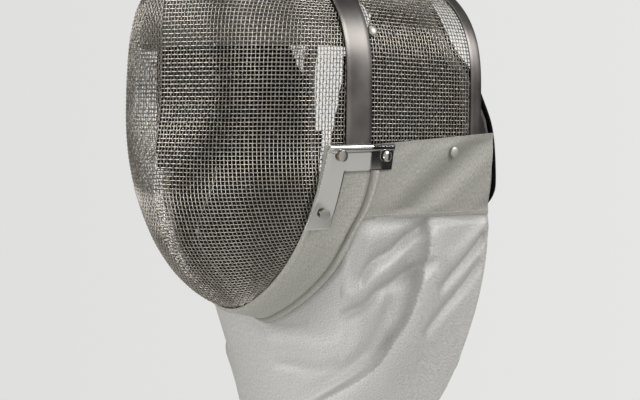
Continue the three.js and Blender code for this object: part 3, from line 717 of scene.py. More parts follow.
def grid_outward(grid):
    """Directions out of a grid of points, away from the head."""
    down, along = np.gradient(grid, axis=0), np.gradient(grid, axis=1)
    normal = np.cross(down, along)
    normal /= np.maximum(np.linalg.norm(normal, axis=2, keepdims=True), 1e-9)
    away = np.sum(normal * (grid - np.array(IN_THE_HEAD)), axis=2, keepdims=True)
    return np.where(away < 0, -normal, normal)


rear_outward = grid_outward(rear_grid)
rear_rows = [list(row) for row in rear_grid]
rear_directions = [list(row) for row in rear_outward]
woven_cloth(("rear_mesh_hoops", "rear_mesh_straights"), rear_rows, rear_directions, "rear_mesh")

# %% [markdown]
# ## Steel bands
#
# A strip of steel covers the joint of the two wire cloths, and a folded strip covers the rear edge.
# A flat grid is bent onto the hoop point by point, then Solidify gives the strip its thickness and
# Bevel breaks its edges, so they catch the light. A curve with a flat profile could draw the strip as
# well, but its twist along the hoop is harder to hold.


# %% A sheet made from a grid
def clear_selection():
    if bpy.context.object and bpy.context.object.mode != "OBJECT":
        bpy.ops.object.mode_set(mode="OBJECT")
    bpy.ops.object.select_all(action="DESELECT")


def work_on(piece):
    clear_selection()
    piece.select_set(True)
    bpy.context.view_layer.objects.active = piece


def bent_grid(name, points, finish):
    """A grid primitive with its points moved to an array of places, its face turned outwards."""
    rows, columns = points.shape[:2]
    clear_selection()
    bpy.ops.mesh.primitive_grid_add(x_subdivisions=columns - 1, y_subdivisions=rows - 1, size=1)
    piece = bpy.context.object
    piece.name = piece.data.name = name
    mesh = piece.data
    mesh.vertices.foreach_set("co", (points.reshape(-1, 3) * MM).ravel())
    along = np.cumsum(np.linalg.norm(np.diff(points, axis=1, prepend=points[:, :1]), axis=2), axis=1)
    across = np.cumsum(np.linalg.norm(np.diff(points, axis=0, prepend=points[:1]), axis=2), axis=0)
    flat = np.stack([along, across], axis=-1).reshape(-1, 2) * MM
    corners = np.empty(len(mesh.loops), int)
    mesh.loops.foreach_get("vertex_index", corners)
    mesh.uv_layers[0].name = "cloth"
    mesh.uv_layers[0].data.foreach_set("uv", flat[corners].astype(np.float32).ravel())
    mesh.update()
    outward = sum(f.normal.dot(f.center - Vector(IN_THE_HEAD) * MM) * f.area for f in mesh.polygons)
    if outward < 0:
        bpy.ops.object.mode_set(mode="EDIT")
        bpy.ops.mesh.select_all(action="SELECT")
        bpy.ops.mesh.flip_normals()
        bpy.ops.object.mode_set(mode="OBJECT")
    mesh.materials.append(finish)
    return piece


def thicken(piece, thick, offset, edge=0.0, inner=None):
    """Solidify, then a small bevel on the outer edges, both applied."""
    work_on(piece)
    wall = piece.modifiers.new("wall", "SOLIDIFY")
    wall.thickness = thick * MM
    wall.offset = offset
    wall.use_even_offset = edge > 0
    if inner:
        piece.data.materials.append(inner)
        wall.material_offset = 1
    bpy.ops.object.modifier_apply(modifier="wall")
    if edge:
        rounding = piece.modifiers.new("rounding", "BEVEL")
        rounding.width = edge * MM
        rounding.segments = 2
        rounding.limit_method = "ANGLE"
        rounding.angle_limit = math.radians(50)
        bpy.ops.object.modifier_apply(modifier="rounding")
    bpy.ops.object.shade_smooth_by_angle(angle=math.radians(40))


def paint_shade(piece, shade):
    """A painted shade for every point of a cloth, which its finish reads."""
    crease = piece.data.attributes.new("crease", "FLOAT", "POINT")
    crease.data.foreach_set("value", np.clip(shade, 0, 1).astype(np.float32).ravel())


# %% Band over the joint
BAND_HALF_WIDTH, BAND_BOTTOM_Z, BAND_LIFT = 12.5, -138, 0.3
band_hoop = both_sides(hoop_line(BAND_BOTTOM_Z, 90))
band_steps = np.linspace(-BAND_HALF_WIDTH, BAND_HALF_WIDTH, 7)
band_rows = [tunnel(band_hoop, y) if y > 0 else band_hoop * (1, 0, 1) + (0, y, 0) for y in band_steps]
band_base = np.stack(band_rows)
band_grid = band_base + BAND_LIFT * grid_outward(band_base)
top_band = bent_grid("top_band_strip", band_grid, band_steel)
thicken(top_band, thick=1.2, offset=1, edge=0.35)
place_piece(top_band, "steel", "top_band")

# %% Folded band at the rear edge
FOLD_RADIUS, FOLD_DEPTH, FOLD_Y = 1.8, -1.0, 123.0
OUTER_LEG_Y, INNER_LEG_Y = (113.3, 116.5, 120.0), (120.0, 117.3)
edge_hoop = both_sides(hoop_line(REAR_BOTTOM_Z, 90))
edge_out = grid_outward(np.stack([tunnel(edge_hoop, y) for y in (REAR_Y - 1, REAR_Y)]))[1]
fold_turn = np.linspace(0, math.pi, 9)
outer_leg = [FOLD_DEPTH + FOLD_RADIUS] * len(OUTER_LEG_Y)
inner_leg = [FOLD_DEPTH - FOLD_RADIUS] * len(INNER_LEG_Y)
fold_lift = np.concatenate([outer_leg, FOLD_DEPTH + FOLD_RADIUS * np.cos(fold_turn), inner_leg])
fold_back = np.concatenate([OUTER_LEG_Y, FOLD_Y + FOLD_RADIUS * np.sin(fold_turn), INNER_LEG_Y])
rear_fold = np.stack([tunnel(edge_hoop, y) + lift * edge_out for lift, y in zip(fold_lift, fold_back)])
rear_band = bent_grid("rear_band_fold", rear_fold, band_steel)
thicken(rear_band, thick=1.0, offset=0, edge=0.25)
place_piece(rear_band, "steel", "rear_band")

# %% [markdown]
# ## Plates at the ears
#
# An L of thin steel is riveted over the end of the band and the cloth on each side. Its upper edge is
# rolled and its front edge turned in. The plate is a grid on the side of the mask, raised along its
# upper edge and lowered along its front edge. The cells outside the L are then deleted.

# %% Side of the mask under its cloth
FLAP_REAR_X, FLAP_TOP_Y = 99.5, 137.0
# Trim from ear to chin: height on the rim, and its seam
TRIM = np.array([
    (-126, 96, 18, -126), (-140, 96.3, 19, -147), (-154, 96.5, 15, -161), (-170, 96.5, 9, -174),
    (-189, 94.5, -1, -190), (-200, 91, -6, -202), (-214, 80, -7, -216), (-227, 64, -7, -229),
    (-239, 46, -7, -241), (-249, 24, -8, -253), (-254, 0, -9, -261),
], float)
SEAM = TRIM[:, [3, 1, 2]]


def side_x(y, z):
    """How far out the side is under its cloth, at places seen from the side."""
    y, z = np.broadcast_arrays(np.asarray(y, float), np.asarray(z, float))
    rim = rim_line(z)
    ahead = np.clip((rim - y) / FACE_DEPTH, 0, 1)
    turn = face_round(z)
    front = oval_half_width(z) * (1 - ahead ** turn) ** (1 / turn)
    back = np.clip(y / REAR_Y, 0, None)
    rise = (z - REAR_BOTTOM_Z) / (CROWN_Z - REAR_BOTTOM_Z)
    behind = oval_half_width(z + REAR_DROP * back * rise) * lerp(1, REAR_SPREAD, back)
    seam_x, seam_y = read_table(SEAM, 1, z), read_table(SEAM, 2, z)
    to_seam = lerp(front, seam_x, (y - rim) / (seam_y - rim))
    to_rear = lerp(seam_x, FLAP_REAR_X, (y - seam_y) / (FLAP_TOP_Y - seam_y))
    upper = np.where(y > 0, behind, front)
    lower = np.where(y > rim, np.where(y < seam_y, to_seam, to_rear), front)
    return np.where(z > RIM_TOP_Z, upper, lower)


def side_grid(y, z):
    y, z = np.broadcast_arrays(y, z)
    return np.stack([side_x(y, z), y, z], axis=-1)


print("side at the flap:", round(float(side_x(60, -150)), 1))

# %% Shape of a plate
PLATE_CELL, PLATE_ACROSS, PLATE_DOWN, LEG_CELLS, BRIDGE_CELLS = 1.3, 50, 47, 15, 16
PLATE_AHEAD, PLATE_LEAN, LIFT_AT_TOP, LIFT_AT_FOOT = 5, 4, 5.1, 4.6
ROLL_WIDTH, ROLL_HEIGHT, TURN_WIDTH, TURN_DEPTH = 5.2, 1.0, 3.5, 0.5
TAIL_FROM, TAIL_SLOPE = 42.0, 0.052
plate_across = np.arange(PLATE_ACROSS + 1)[None] * PLATE_CELL
plate_down = np.arange(PLATE_DOWN + 1)[:, None] * PLATE_CELL
down_share = plate_down / plate_down[-1]
plate_z = RIM_TOP_Z - plate_down + 0 * plate_across
plate_front = rim_line(plate_z) - PLATE_AHEAD - PLATE_LEAN * down_share
plate_base = side_grid(plate_front + plate_across, plate_z)
# The stiff plate bridges the edge of the bowl under its front part.
bridge = np.clip(np.arange(PLATE_ACROSS + 1) / BRIDGE_CELLS, 0, 1)[None]
straight = lerp(plate_base[:, :1, 0], plate_base[:, BRIDGE_CELLS:BRIDGE_CELLS + 1, 0], bridge)
plate_base[..., 0] = np.where(bridge < 1, straight, plate_base[..., 0])
from_roll = (plate_down - ROLL_WIDTH / 2) / (ROLL_WIDTH / 2)
roll = ROLL_HEIGHT * np.sqrt(np.clip(1 - from_roll ** 2, 0, 1))
front_turn = TURN_DEPTH * np.clip(1 - plate_across / TURN_WIDTH, 0, 1) ** 2
tail_bend = TAIL_SLOPE * np.clip(plate_across - TAIL_FROM, 0, None)
plate_lift = lerp(LIFT_AT_TOP, LIFT_AT_FOOT, down_share) + roll - tail_bend - front_turn
plate_grid = plate_base + plate_lift[..., None] * grid_outward(plate_base)
print("plate grid:", plate_grid.shape[:2])

# %% Left plate
plate_left = bent_grid("ear_plate_left", plate_grid, plate_steel)
bpy.ops.object.mode_set(mode="EDIT")
bpy.ops.mesh.select_mode(type="FACE")
bpy.ops.mesh.select_all(action="DESELECT")
bpy.ops.object.mode_set(mode="OBJECT")
for k, face in enumerate(plate_left.data.polygons):
    face.select = k // PLATE_ACROSS >= LEG_CELLS and k % PLATE_ACROSS >= LEG_CELLS
bpy.ops.object.mode_set(mode="EDIT")
bpy.ops.mesh.delete(type="FACE")
bpy.ops.object.mode_set(mode="OBJECT")
thicken(plate_left, thick=0.9, offset=0, edge=0.3)
place_piece(plate_left, "steel", "bracket_left")


# %% Right plate
def mirror_copy(piece, name):
    """The same piece on the wearer's other side, with its own mesh."""
    clear_selection()
    copy = piece.copy()
    copy.data = piece.data.copy()
    copy.name = copy.data.name = name
    bpy.context.scene.collection.objects.link(copy)
    copy.data.transform(Matrix.Scale(-1, 4, (1, 0, 0)))
    copy.data.flip_normals()
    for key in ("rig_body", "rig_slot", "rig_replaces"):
        if key in copy:
            del copy[key]
    copy.parent = None
    return copy


plate_right = mirror_copy(plate_left, "ear_plate_right")
place_piece(plate_right, "steel", "bracket_right")

# %% [markdown]
# ## Cloth trim along the jaw
#
# A strip of metallic cloth binds the edge of the wire: a soft roll lies on the wire, a flat strip
# follows it, and a raised seam joins it to the bib. One grid from ear to ear carries all three, as a
# profile of heights across the strip. A near-black lining, painted shade of the inside of the mask, is
# set on its inner side.


# %% Curves through a table
LIP_AIM_Z, LIP_SHARE, LIP_HALVINGS = -120, 0.4, 30


def smooth_rows(rows, at):
    """Values between the rows of a table, on a smooth curve through them."""
    i = np.clip(np.floor(at).astype(int), 0, len(rows) - 2)
    t = (at - i)[:, None]
    before, start, end, after = (rows[np.clip(i + k, 0, len(rows) - 1)] for k in (-1, 0, 1, 2))
    square = (2 * before - 5 * start + 4 * end - after) * t ** 2
    cube = (3 * start - before - 3 * end + after) * t ** 3
    return start + ((end - before) * t + (square + cube)) / 2


def ear_to_ear(rows):
    """A table of places from one ear to the chin, carried on to the other ear."""
    return np.vstack([rows * (-1, 1, 1), rows[-2::-1]])


def bowl_at(rim, share):
    x, z = rim[:, 0] * (1 - share), lerp(rim[:, 2], LIP_AIM_Z, share)
    return np.stack([x, face_y(x, z), z], axis=1)


def lip_line(rim, width):
    """Places on the wire, a lip's width in from its rim."""
    near, far = np.zeros(len(rim)), np.full(len(rim), LIP_SHARE)
    for _ in range(LIP_HALVINGS):
        middle = (near + far) / 2
        short = np.linalg.norm(bowl_at(rim, middle) - rim, axis=1) < width
        near, far = np.where(short, middle, near), np.where(short, far, middle)
    return bowl_at(rim, near)


# %% Trim
TRIM_STEPS, LIP_WIDTH, CLOTH_THICK = 260, 6.0, 1.1
TRIM_MIDDLE, TRIM_GROOVE, FLAT_TRIM = 1.4, 1.845, (1.2, 3.2)
trim_at = np.linspace(0, 2 * (len(TRIM) - 1), TRIM_STEPS + 1)
rim_rows = np.stack([oval_half_width(TRIM[:, 0]), rim_line(TRIM[:, 0]), TRIM[:, 0]], axis=1)
rim_curve = smooth_rows(ear_to_ear(rim_rows), trim_at)
seam_curve = smooth_rows(ear_to_ear(TRIM[:, 1:]), trim_at)
lip_curve = lip_line(rim_curve, LIP_WIDTH)
# Profile across the trim: place from lip 0 to rim 1 to seam 2, and height of the outer face
TRIM_PROFILE = np.array([
    (0.0, 0.3), (0.06, 1.3), (0.2, 2.3), (0.4, 2.9), (0.6, 3.0), (0.8, 2.7), (0.95, 2.2), (1.08, 2.1),
    (1.25, 2.2), (1.45, 2.3), (1.62, 2.3), (1.76, 2.2), (1.82, 1.9), (TRIM_GROOVE, 1.2), (1.87, 3.3),
    (1.91, 4.5), (1.95, 4.6), (1.99, 3.8), (2.015, 2.2), (2.02, 1.0),
])
trim_lines = []
for place, _ in TRIM_PROFILE:
    trim_lines.append(lerp(rim_curve, lip_curve if place < 1 else seam_curve, abs(place - 1)))
trim_base = np.stack(trim_lines)
from_chin = np.abs(np.linspace(-1, 1, TRIM_STEPS + 1))
earward, under_plate = smoothstep(from_chin, 0.62, 0.82), smoothstep(from_chin, 0.88, 0.94)
trim_height = TRIM_PROFILE[:, 1][:, None] * np.ones(TRIM_STEPS + 1)
flatter = lerp(trim_height, np.clip(trim_height, *FLAT_TRIM), earward)
trim_height = np.where(TRIM_PROFILE[:, :1] < 1.5, flatter, trim_height)
trim_height = lerp(trim_height, np.clip(trim_height, *FLAT_TRIM), under_plate)
trim_grid = trim_base + trim_height[..., None] * grid_outward(trim_base)
trim = bent_grid("jaw_trim", trim_grid, trim_cloth)
trim_place = TRIM_PROFILE[:, :1] + np.zeros(TRIM_STEPS + 1)
# Painted shade: darker in the hollow of the flat strip, and a dark line in the groove beside the raised seam.
paint_shade(trim, 0.14 * bell(trim_place - TRIM_MIDDLE, 0.28) + 0.55 * bell(trim_place - TRIM_GROOVE, 0.03))
thicken(trim, thick=CLOTH_THICK, offset=-1, inner=painted_shade_lining)
place_piece(trim, "cloth", "bib_trim")

# %% [markdown]
# ## Flaps behind the ears
#
# A flap of the same cloth runs back from the trim on each side. It hangs nearly flat, with a few soft
# slanted folds, so it is a grid with low waves. A simulation could drape it, but the folds would then
# fall where they like.

# %% Flaps
FLAP_REAR_Z, FLAP_BOTTOM_Z, FLAP_BOTTOM_Y = -118.5, -181.5, 131
FLAP_HEIGHT, SEAM_OVERLAP, WAVE_EDGE = 62, 1.5, 9
flap_back = np.linspace(0, 1, 91)[None]
flap_down = np.linspace(0, 1, 47)[:, None]
flap_z = lerp(lerp(RIM_TOP_Z, FLAP_REAR_Z, flap_back), FLAP_BOTTOM_Z, flap_down)
flap_seam = read_table(SEAM, 2, flap_z) - SEAM_OVERLAP
flap_y = lerp(flap_seam, lerp(FLAP_TOP_Y, FLAP_BOTTOM_Y, flap_down), flap_back)
flap_base = np.stack([side_x(flap_y, np.minimum(flap_z, RIM_TOP_Z)), flap_y, flap_z], axis=-1)
slant = flap_y * 0.52 - flap_z * 0.85
waves = 0.9 * np.sin(slant / 7.5 + 0.8) + 0.5 * np.sin(slant / 4.4 + 2.0 + flap_y / 60)
flap_edge = np.minimum(flap_down, 1 - flap_down) * FLAP_HEIGHT
waves = waves * smoothstep(flap_edge, 0, WAVE_EDGE) * smoothstep(flap_back, 0.02, 0.25)
flap_hem = 0.25 * smoothstep(flap_down, 0.9, 0.96)
flap_lift = lerp(2.3, 3.0, smoothstep(flap_y, 28, 44)) + waves + flap_hem
flap_grid = flap_base + flap_lift[..., None] * grid_outward(flap_base)
flap_left = bent_grid("ear_flap_left", flap_grid, trim_cloth)
# Painted shade: the whole flap a little darker, more in the troughs of its waves and less on their crests.
paint_shade(flap_left, 0.28 - 0.16 * waves)
thicken(flap_left, thick=CLOTH_THICK, offset=-1, inner=painted_shade_lining)
flap_right = mirror_copy(flap_left, "ear_flap_right")
place_piece(flap_left, "cloth", "bib_flap_left")
place_piece(flap_right, "cloth", "bib_flap_right")

# %% [markdown]
# ## Bib
#
# The bib hangs from the trim and the flaps, round the throat. Its folds start at the ear seam and fall
# forwards. Each fold is a curve on the flat cloth with a height and a width on either side of it, and
# the cloth is raised along it. The same curves paint shade beside the main pleat and in the grooves,
# and a painted highlight on the other side of the pleat and on the ridges.

# %% Bib without folds
# Bib from chin to rear edge: upper edge x, y, z and hem x, y, z
DRAPE = np.array([
    (0, -9, -261, 0, 2, -362), (24, -8, -253, 25, 5, -362), (46, -7, -241, 46, 13, -362),
    (64, -7, -229, 62, 25, -361), (80, -7, -216, 73, 38, -360), (91, -6, -202, 80, 49, -356),
    (96, 4, -182, 84, 60, -350), (97, 38, -181, 86, 73, -341), (98, 75, -181, 88, 87, -327),
    (99, 110, -181, 89, 99, -311), (99.5, 131, -181, 90, 107, -296),
], float)
BIB_ALONG, BIB_DOWN, REAR_BULGE = 330, 135, 36
bib_side = np.linspace(-1, 1, BIB_ALONG + 1)
bib_down = np.linspace(0, 1, BIB_DOWN + 1)[:, None]
bib_flip = np.array([-1, 1, 1, -1, 1, 1])
drape_rows = np.vstack([DRAPE[::-1] * bib_flip, DRAPE[1:]])
bib_edges = smooth_rows(drape_rows, (bib_side + 1) * (len(DRAPE) - 1))
bib_base = lerp(bib_edges[None, :, :3], bib_edges[None, :, 3:], bib_down[..., None])
bib_base[..., 1] += REAR_BULGE * bib_down * (1 - bib_down) * smoothstep(np.abs(bib_side), 0.6, 1)
print("bib grid:", bib_base.shape[:2])

# %% Folds of the bib
CLOTH_ALONG, CLOTH_DOWN, FOLD_STEPS = 205.0, 125.0, 220
HOLLOW_FROM_PLEAT, HOLLOW_WIDTH = 11, 6
# Painted shade over the whole bib, so that painted highlights can lighten it, the most painted shade, and the
# painted shade for each millimetre of a fold's height
PLAIN_SHADE, DARKEST, GROOVE_SHADE = 0.15, 0.6, -0.065
# Darkness and width of the two painted shadows beside the main pleat, and of the painted highlight on its
# other side
NEAR_SHADOW, WIDE_SHADOW, PLEAT_HIGHLIGHT = (0.46, 4), (0.2, 14), (0.15, 16)
# Each fold: its places as shares along and down the half bib, its height, its width on the side of
# the chin and on the rear side, and the depth of the hollow beside it
FOLDS = [
    (((0.785, 0.0), (0.767, 0.13), (0.74, 0.28), (0.707, 0.39), (0.66, 0.50), (0.59, 0.56), (0.49, 0.585),
      (0.37, 0.61), (0.24, 0.66), (0.1, 0.74)), 7.0, 3.2, 20.0, 2.6),
    (((0.78, 0.0), (0.767, 0.05), (0.713, 0.10), (0.653, 0.167), (0.58, 0.195), (0.51, 0.19)),
     -3.6, 3.6, 3.6, 0),
    (((0.76, 0.06), (0.733, 0.12), (0.68, 0.20), (0.60, 0.25), (0.50, 0.21), (0.40, 0.14)),
     2.2, 4.0, 4.0, 0),
    (((0.765, 0.20), (0.753, 0.242), (0.713, 0.267), (0.653, 0.308), (0.567, 0.325), (0.453, 0.275),
      (0.36, 0.24)), -3.8, 3.8, 3.8, 0),
    (((0.74, 0.04), (0.67, 0.08), (0.58, 0.10)), 1.6, 5.0, 4.0, 0),
    (((0.98, 0.12), (0.933, 0.20), (0.853, 0.308), (0.78, 0.40)), -3.8, 4.0, 4.5, 0),
    (((0.97, 0.30), (0.88, 0.425), (0.807, 0.50), (0.72, 0.59)), -3.4, 4.0, 5.0, 0),
    (((0.99, 0.05), (0.90, 0.16), (0.82, 0.26)), 1.8, 6.0, 5.0, 0),
    (((0.02, 0.34), (0.113, 0.40), (0.213, 0.47), (0.33, 0.48)), -1.5, 5.0, 5.0, 0),
    (((0.0, 0.17), (0.107, 0.23), (0.24, 0.33), (0.38, 0.36)), 1.5, 6.0, 6.0, 0),
    (((0.0, 0.05), (0.1, 0.11), (0.2, 0.18)), -1.0, 4.0, 4.0, 0),
]


def fold_heights(side, down):
    """How far its folds raise the cloth and the shade painted on them, at shares along and down it."""
    place = np.stack(np.broadcast_arrays(np.abs(side) * CLOTH_ALONG, down * CLOTH_DOWN), axis=-1)
    total, shade = np.zeros(place.shape[:2]), np.zeros(place.shape[:2])
    for points, height, chinward, rearward, hollow in FOLDS:
        corners = np.array(points) * (CLOTH_ALONG, CLOTH_DOWN)
        line = smooth_rows(corners, np.linspace(0, len(corners) - 1, FOLD_STEPS + 1))
        away = place[:, :, None] - line
        far = np.linalg.norm(away, axis=3)
        nearest = far.argmin(axis=2)
        ahead = np.gradient(line, axis=0)[nearest]
        off = np.take_along_axis(away, nearest[:, :, None, None], axis=2)[:, :, 0]
        chin_side = ahead[..., 0] * off[..., 1] - ahead[..., 1] * off[..., 0] > 0
        beside = far.min(axis=2)
        fade = 1 - np.abs(2 * nearest / FOLD_STEPS - 1) ** 6
        hump = bell(beside, np.where(chin_side, chinward, rearward))
        dip = hollow * bell(beside - HOLLOW_FROM_PLEAT, HOLLOW_WIDTH) * chin_side
        total += fade * (height * hump - dip)
        near, wide, highlight = (dark * bell(beside, width) for dark, width in (NEAR_SHADOW, WIDE_SHADOW, PLEAT_HIGHLIGHT))
        pleat = lerp(-highlight, near + wide, smoothstep(np.where(chin_side, beside, -beside), -0.7, 0.9))
        # Painted shade beside the main pleat and in the grooves, and a painted highlight on the pleat's other
        # side and on the ridges.
        shade += fade * (pleat if hollow else np.clip(GROOVE_SHADE * height, -0.1, 1) * hump)
    return total, shade


half_side = bib_side[None, BIB_ALONG // 2:]
half_fold, half_shade = fold_heights(half_side, bib_down)
# Near the chin, the wearer's right half hangs straighter.
straighter = lerp(0.1, 0.8, smoothstep(half_side, 0.3, 0.6))
bib_fold = np.hstack([(straighter * half_fold)[:, :0:-1], half_fold])
bib_shade = PLAIN_SHADE + np.hstack([(straighter * half_shade)[:, :0:-1], half_shade])
print("folds from", round(float(bib_fold.min()), 1), "to", round(float(bib_fold.max()), 1), "mm")

# %% Bib
LIFT_AT_CHIN, LIFT_AT_EAR, LIFT_BELOW = 0.4, 2.4, 3.4
tucked = lerp(LIFT_AT_CHIN, LIFT_AT_EAR, smoothstep(np.abs(bib_side), 0.58, 0.66))[None]
plain_lift = lerp(tucked, LIFT_BELOW, smoothstep(bib_down, 0.0, 0.07))
bib_lift = plain_lift + bib_fold * smoothstep(bib_down, 0.0, 0.06)
bib_grid = bib_base + bib_lift[..., None] * grid_outward(bib_base)
bib = bent_grid("bib_cloth", bib_grid, metal_cloth)
# Painted shadow along the top of the bib, under the trim and the flaps.
upper_shade = 0.25 * bell(bib_down, 0.03) + 0.1 * bell(bib_down, 0.2)
paint_shade(bib, np.minimum(bib_shade, DARKEST) + upper_shade)
thicken(bib, thick=CLOTH_THICK, offset=-1, inner=painted_shade_lining)
place_piece(bib, "cloth", "bib")

# %% [markdown]
# ## Stitches
#
# Thread shows on the raised seam of the trim, along the lower edge of the flaps and round the hem. Each
# stitch is a short arch of thread that dips into the cloth at both ends. They are too many to model one
# by one, so each seam is one mesh of small tubes, like the wires.

# %% Thread
thread_finish, thread_tree, thread_shader = new_finish("sewing_thread")
thread_mask = add_smudges(thread_tree, 300, (0.3, 0.5)).outputs["Mask"]
thread_tones = two_tones(thread_tree, thread_mask, (0.55, 0.55, 0.50), (0.72, 0.71, 0.66))
wire_up(thread_tree, thread_tones, thread_shader.inputs["Base Color"])
thread_shader.inputs["Roughness"].default_value = 0.6
print("finish:", thread_finish.name)

# %% Seams
STITCH_ALONG, STITCH_HEIGHT = np.array([0, 0.25, 0.75, 1]), np.array([-0.2, 0.15, 0.15, -0.2])
THREAD_RADIUS = 0.3
# Step from stitch to stitch, and length of a stitch
STITCH, HEM_STITCH = (2.9, 1.9), (3.1, 2.0)
SEAM_ROW, FLAP_ROW, HEM_INSET = 15, -3, 4


def stitch_line(name, places, outward, step, length):
    """Small arches of thread along a line of places on the cloth."""
    along = lengths_along(places)
    lines = []
    for start in np.arange(step, along[-1] - step, step):
        at = start + length * STITCH_ALONG
        centre, away = values_at(at, along, places), values_at(at, along, outward)
        away /= np.linalg.norm(away, axis=1, keepdims=True)
        lines.append((centre + STITCH_HEIGHT[:, None] * away, away))
    seam = wire_mesh(name, lines, THREAD_RADIUS, thread_finish, sides=5)
    place_piece(seam, "cloth")


def round_the_hem(grid):
    """Down one side of a grid, along its bottom and up the other side, a little way in."""
    inner = slice(HEM_INSET, -HEM_INSET)
    up = grid[-HEM_INSET:HEM_INSET:-1, -HEM_INSET]
    return np.vstack([grid[inner, HEM_INSET], grid[-HEM_INSET, inner], up])


trim_out, flap_out, bib_out = grid_outward(trim_grid), grid_outward(flap_grid), grid_outward(bib_grid)
stitch_line("trim_stitches", trim_grid[SEAM_ROW], trim_out[SEAM_ROW], *STITCH)
for side, flip in (("left", (1, 1, 1)), ("right", (-1, 1, 1))):
    stitch_line(f"flap_stitches_{side}", flap_grid[FLAP_ROW] * flip, flap_out[FLAP_ROW] * flip, *STITCH)
stitch_line("hem_stitches", round_the_hem(bib_grid), round_the_hem(bib_out), *HEM_STITCH)

# %% [markdown]
# ## Rivets
#
# Each rivet has a low round head. A sphere is cut in half and flattened, its open edge is drawn down
# into a short wall, and the bottom is filled, inset and drawn into the shank and the tail disc inside
# the mask. One function does this for a given reach and dome, and turns each rivet to its place.


# %% One rivet
RIVET_RADIUS, RIVET_WALL, SHANK_INSET = 4.2, 0.35, 2.4
TAIL_FLARE, TAIL_SPREAD, TAIL_THICK = 0.2, 1.6, 0.6


def model_rivet(reach, dome, finish):
    clear_selection()
    bpy.ops.mesh.primitive_uv_sphere_add(segments=28, ring_count=14, radius=RIVET_RADIUS * MM)
    rivet = bpy.context.object
    bpy.ops.object.mode_set(mode="EDIT")
    bpy.ops.mesh.select_all(action="SELECT")
    bpy.ops.mesh.bisect(plane_co=(0, 0, 0), plane_no=(0, 0, 1), use_fill=False, clear_inner=True)
    bpy.ops.mesh.select_all(action="SELECT")
    bpy.ops.transform.resize(value=(1, 1, dome))
    bpy.ops.mesh.select_all(action="DESELECT")
    bpy.ops.mesh.select_mode(type="EDGE")
    bpy.ops.mesh.select_non_manifold()
    bpy.ops.mesh.extrude_region_move(TRANSFORM_OT_translate={"value": (0, 0, -RIVET_WALL * MM)})
    bpy.ops.mesh.edge_face_add()
    bpy.ops.mesh.select_mode(type="FACE")
    bpy.ops.mesh.inset(thickness=SHANK_INSET * MM)
    bpy.ops.mesh.extrude_region_move(TRANSFORM_OT_translate={"value": (0, 0, -reach * MM)})
    bpy.ops.mesh.extrude_region_move(TRANSFORM_OT_translate={"value": (0, 0, -TAIL_FLARE * MM)})
    bpy.ops.transform.resize(value=(TAIL_SPREAD, TAIL_SPREAD, 1))
    bpy.ops.mesh.extrude_region_move(TRANSFORM_OT_translate={"value": (0, 0, -TAIL_THICK * MM)})
    bpy.ops.mesh.select_all(action="SELECT")
    bpy.ops.mesh.normals_make_consistent(inside=False)
    bpy.ops.object.mode_set(mode="OBJECT")
    bpy.ops.object.shade_smooth_by_angle(angle=math.radians(40))
    rivet.data.materials.append(finish)
    return rivet


# %% All rivets
# Place on the side, lift of the head from what it stands on, reach of the shank, height of the dome
# and finish
RIVETS = {
    "bracket_rivet_front": (-21, -134, 0.85, 9.0, 0.04, rivet_steel),
    "bracket_rivet_rear": (23, -135, 0.75, 9.1, 0.30, rivet_steel),
    "bracket_rivet_lower": (-31, -177, 0.85, 8.4, 0.04, rivet_steel),
    "crown_rivet": (16.8, -42, 0.6, 3.2, 0.35, dull_steel),
    "flap_rivet": (93.5, -133, 3.6, 6.8, 0.18, dull_steel),
}


def side_point(y, z):
    return side_grid(np.array(float(y)), np.array(float(z)))


def side_outward(y, z, step=1.5):
    along_y = side_point(y + step, z) - side_point(y - step, z)
    along_z = side_point(y, z + step) - side_point(y, z - step)
    return Vector(np.cross(along_y, along_z)).normalized()


def rivet_seat(name, y, z):
    """The place under a rivet and the way out from there, on the plate or on the side."""
    if name.startswith("bracket"):
        near = np.argmin((plate_grid[..., 1] - y) ** 2 + (plate_grid[..., 2] - z) ** 2)
        places, ways = plate_grid.reshape(-1, 3), grid_outward(plate_grid).reshape(-1, 3)
        return Vector(places[near]), Vector(ways[near])
    return Vector(side_point(y, z)), side_outward(y, z)


def stand_rivet(rivet, point, outward):
    turn = Vector((0, 0, 1)).rotation_difference(outward).to_matrix().to_4x4()
    rivet.data.transform(Matrix.Translation(point * MM) @ turn)


for name, (y, z, lift, reach, dome, finish) in RIVETS.items():
    for side, flip in (("left", 1), ("right", -1)):
        rivet = model_rivet(reach, dome, finish)
        rivet.name = rivet.data.name = f"{name}_{side}_head"
        seat, outward = rivet_seat(name, y, z)
        mirror = Matrix.Diagonal((flip, 1, 1))
        stand_rivet(rivet, mirror @ (seat + lift * outward), mirror @ outward)
        place_piece(rivet, "steel", f"{name}_{side}")
rivet = model_rivet(17.0, 0.35, rivet_steel)
rivet.name = rivet.data.name = "tongue_rivet_head"
stand_rivet(rivet, Vector((0, 102, 5.6)), Vector((0, 0, 1)))
place_piece(rivet, "steel", "tongue_rivet")

# %% [markdown]
# ## Pads
#
# The pads inside are foam in cloth. The forehead and tongue pads start as copies of their solids and
# the side pads as bent grids. Each is remeshed to small even cells and shrunk a little. A cloth
# simulation then blows it up from inside, so its faces crown, and how far a point may move is limited.


# %% Blow up a pad
PAD_CELL, SHRINK_SHARE, PAD_PRESSURE, PAD_FRAMES = 0.004, 0.6, 4, 20


def pad_of(node, name):
    """A copy of a solid, its corners joined."""
    copy = frame["nodes"][node].copy()
    copy.data = frame["nodes"][node].data.copy()
    copy.name = copy.data.name = name
    copy.parent = None
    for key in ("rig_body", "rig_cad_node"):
        del copy[key]
    bpy.context.scene.collection.objects.link(copy)
    work_on(copy)
    bpy.ops.object.mode_set(mode="EDIT")
    bpy.ops.mesh.select_all(action="SELECT")
    bpy.ops.mesh.remove_doubles(threshold=0.00001)
    bpy.ops.object.mode_set(mode="OBJECT")
    return copy


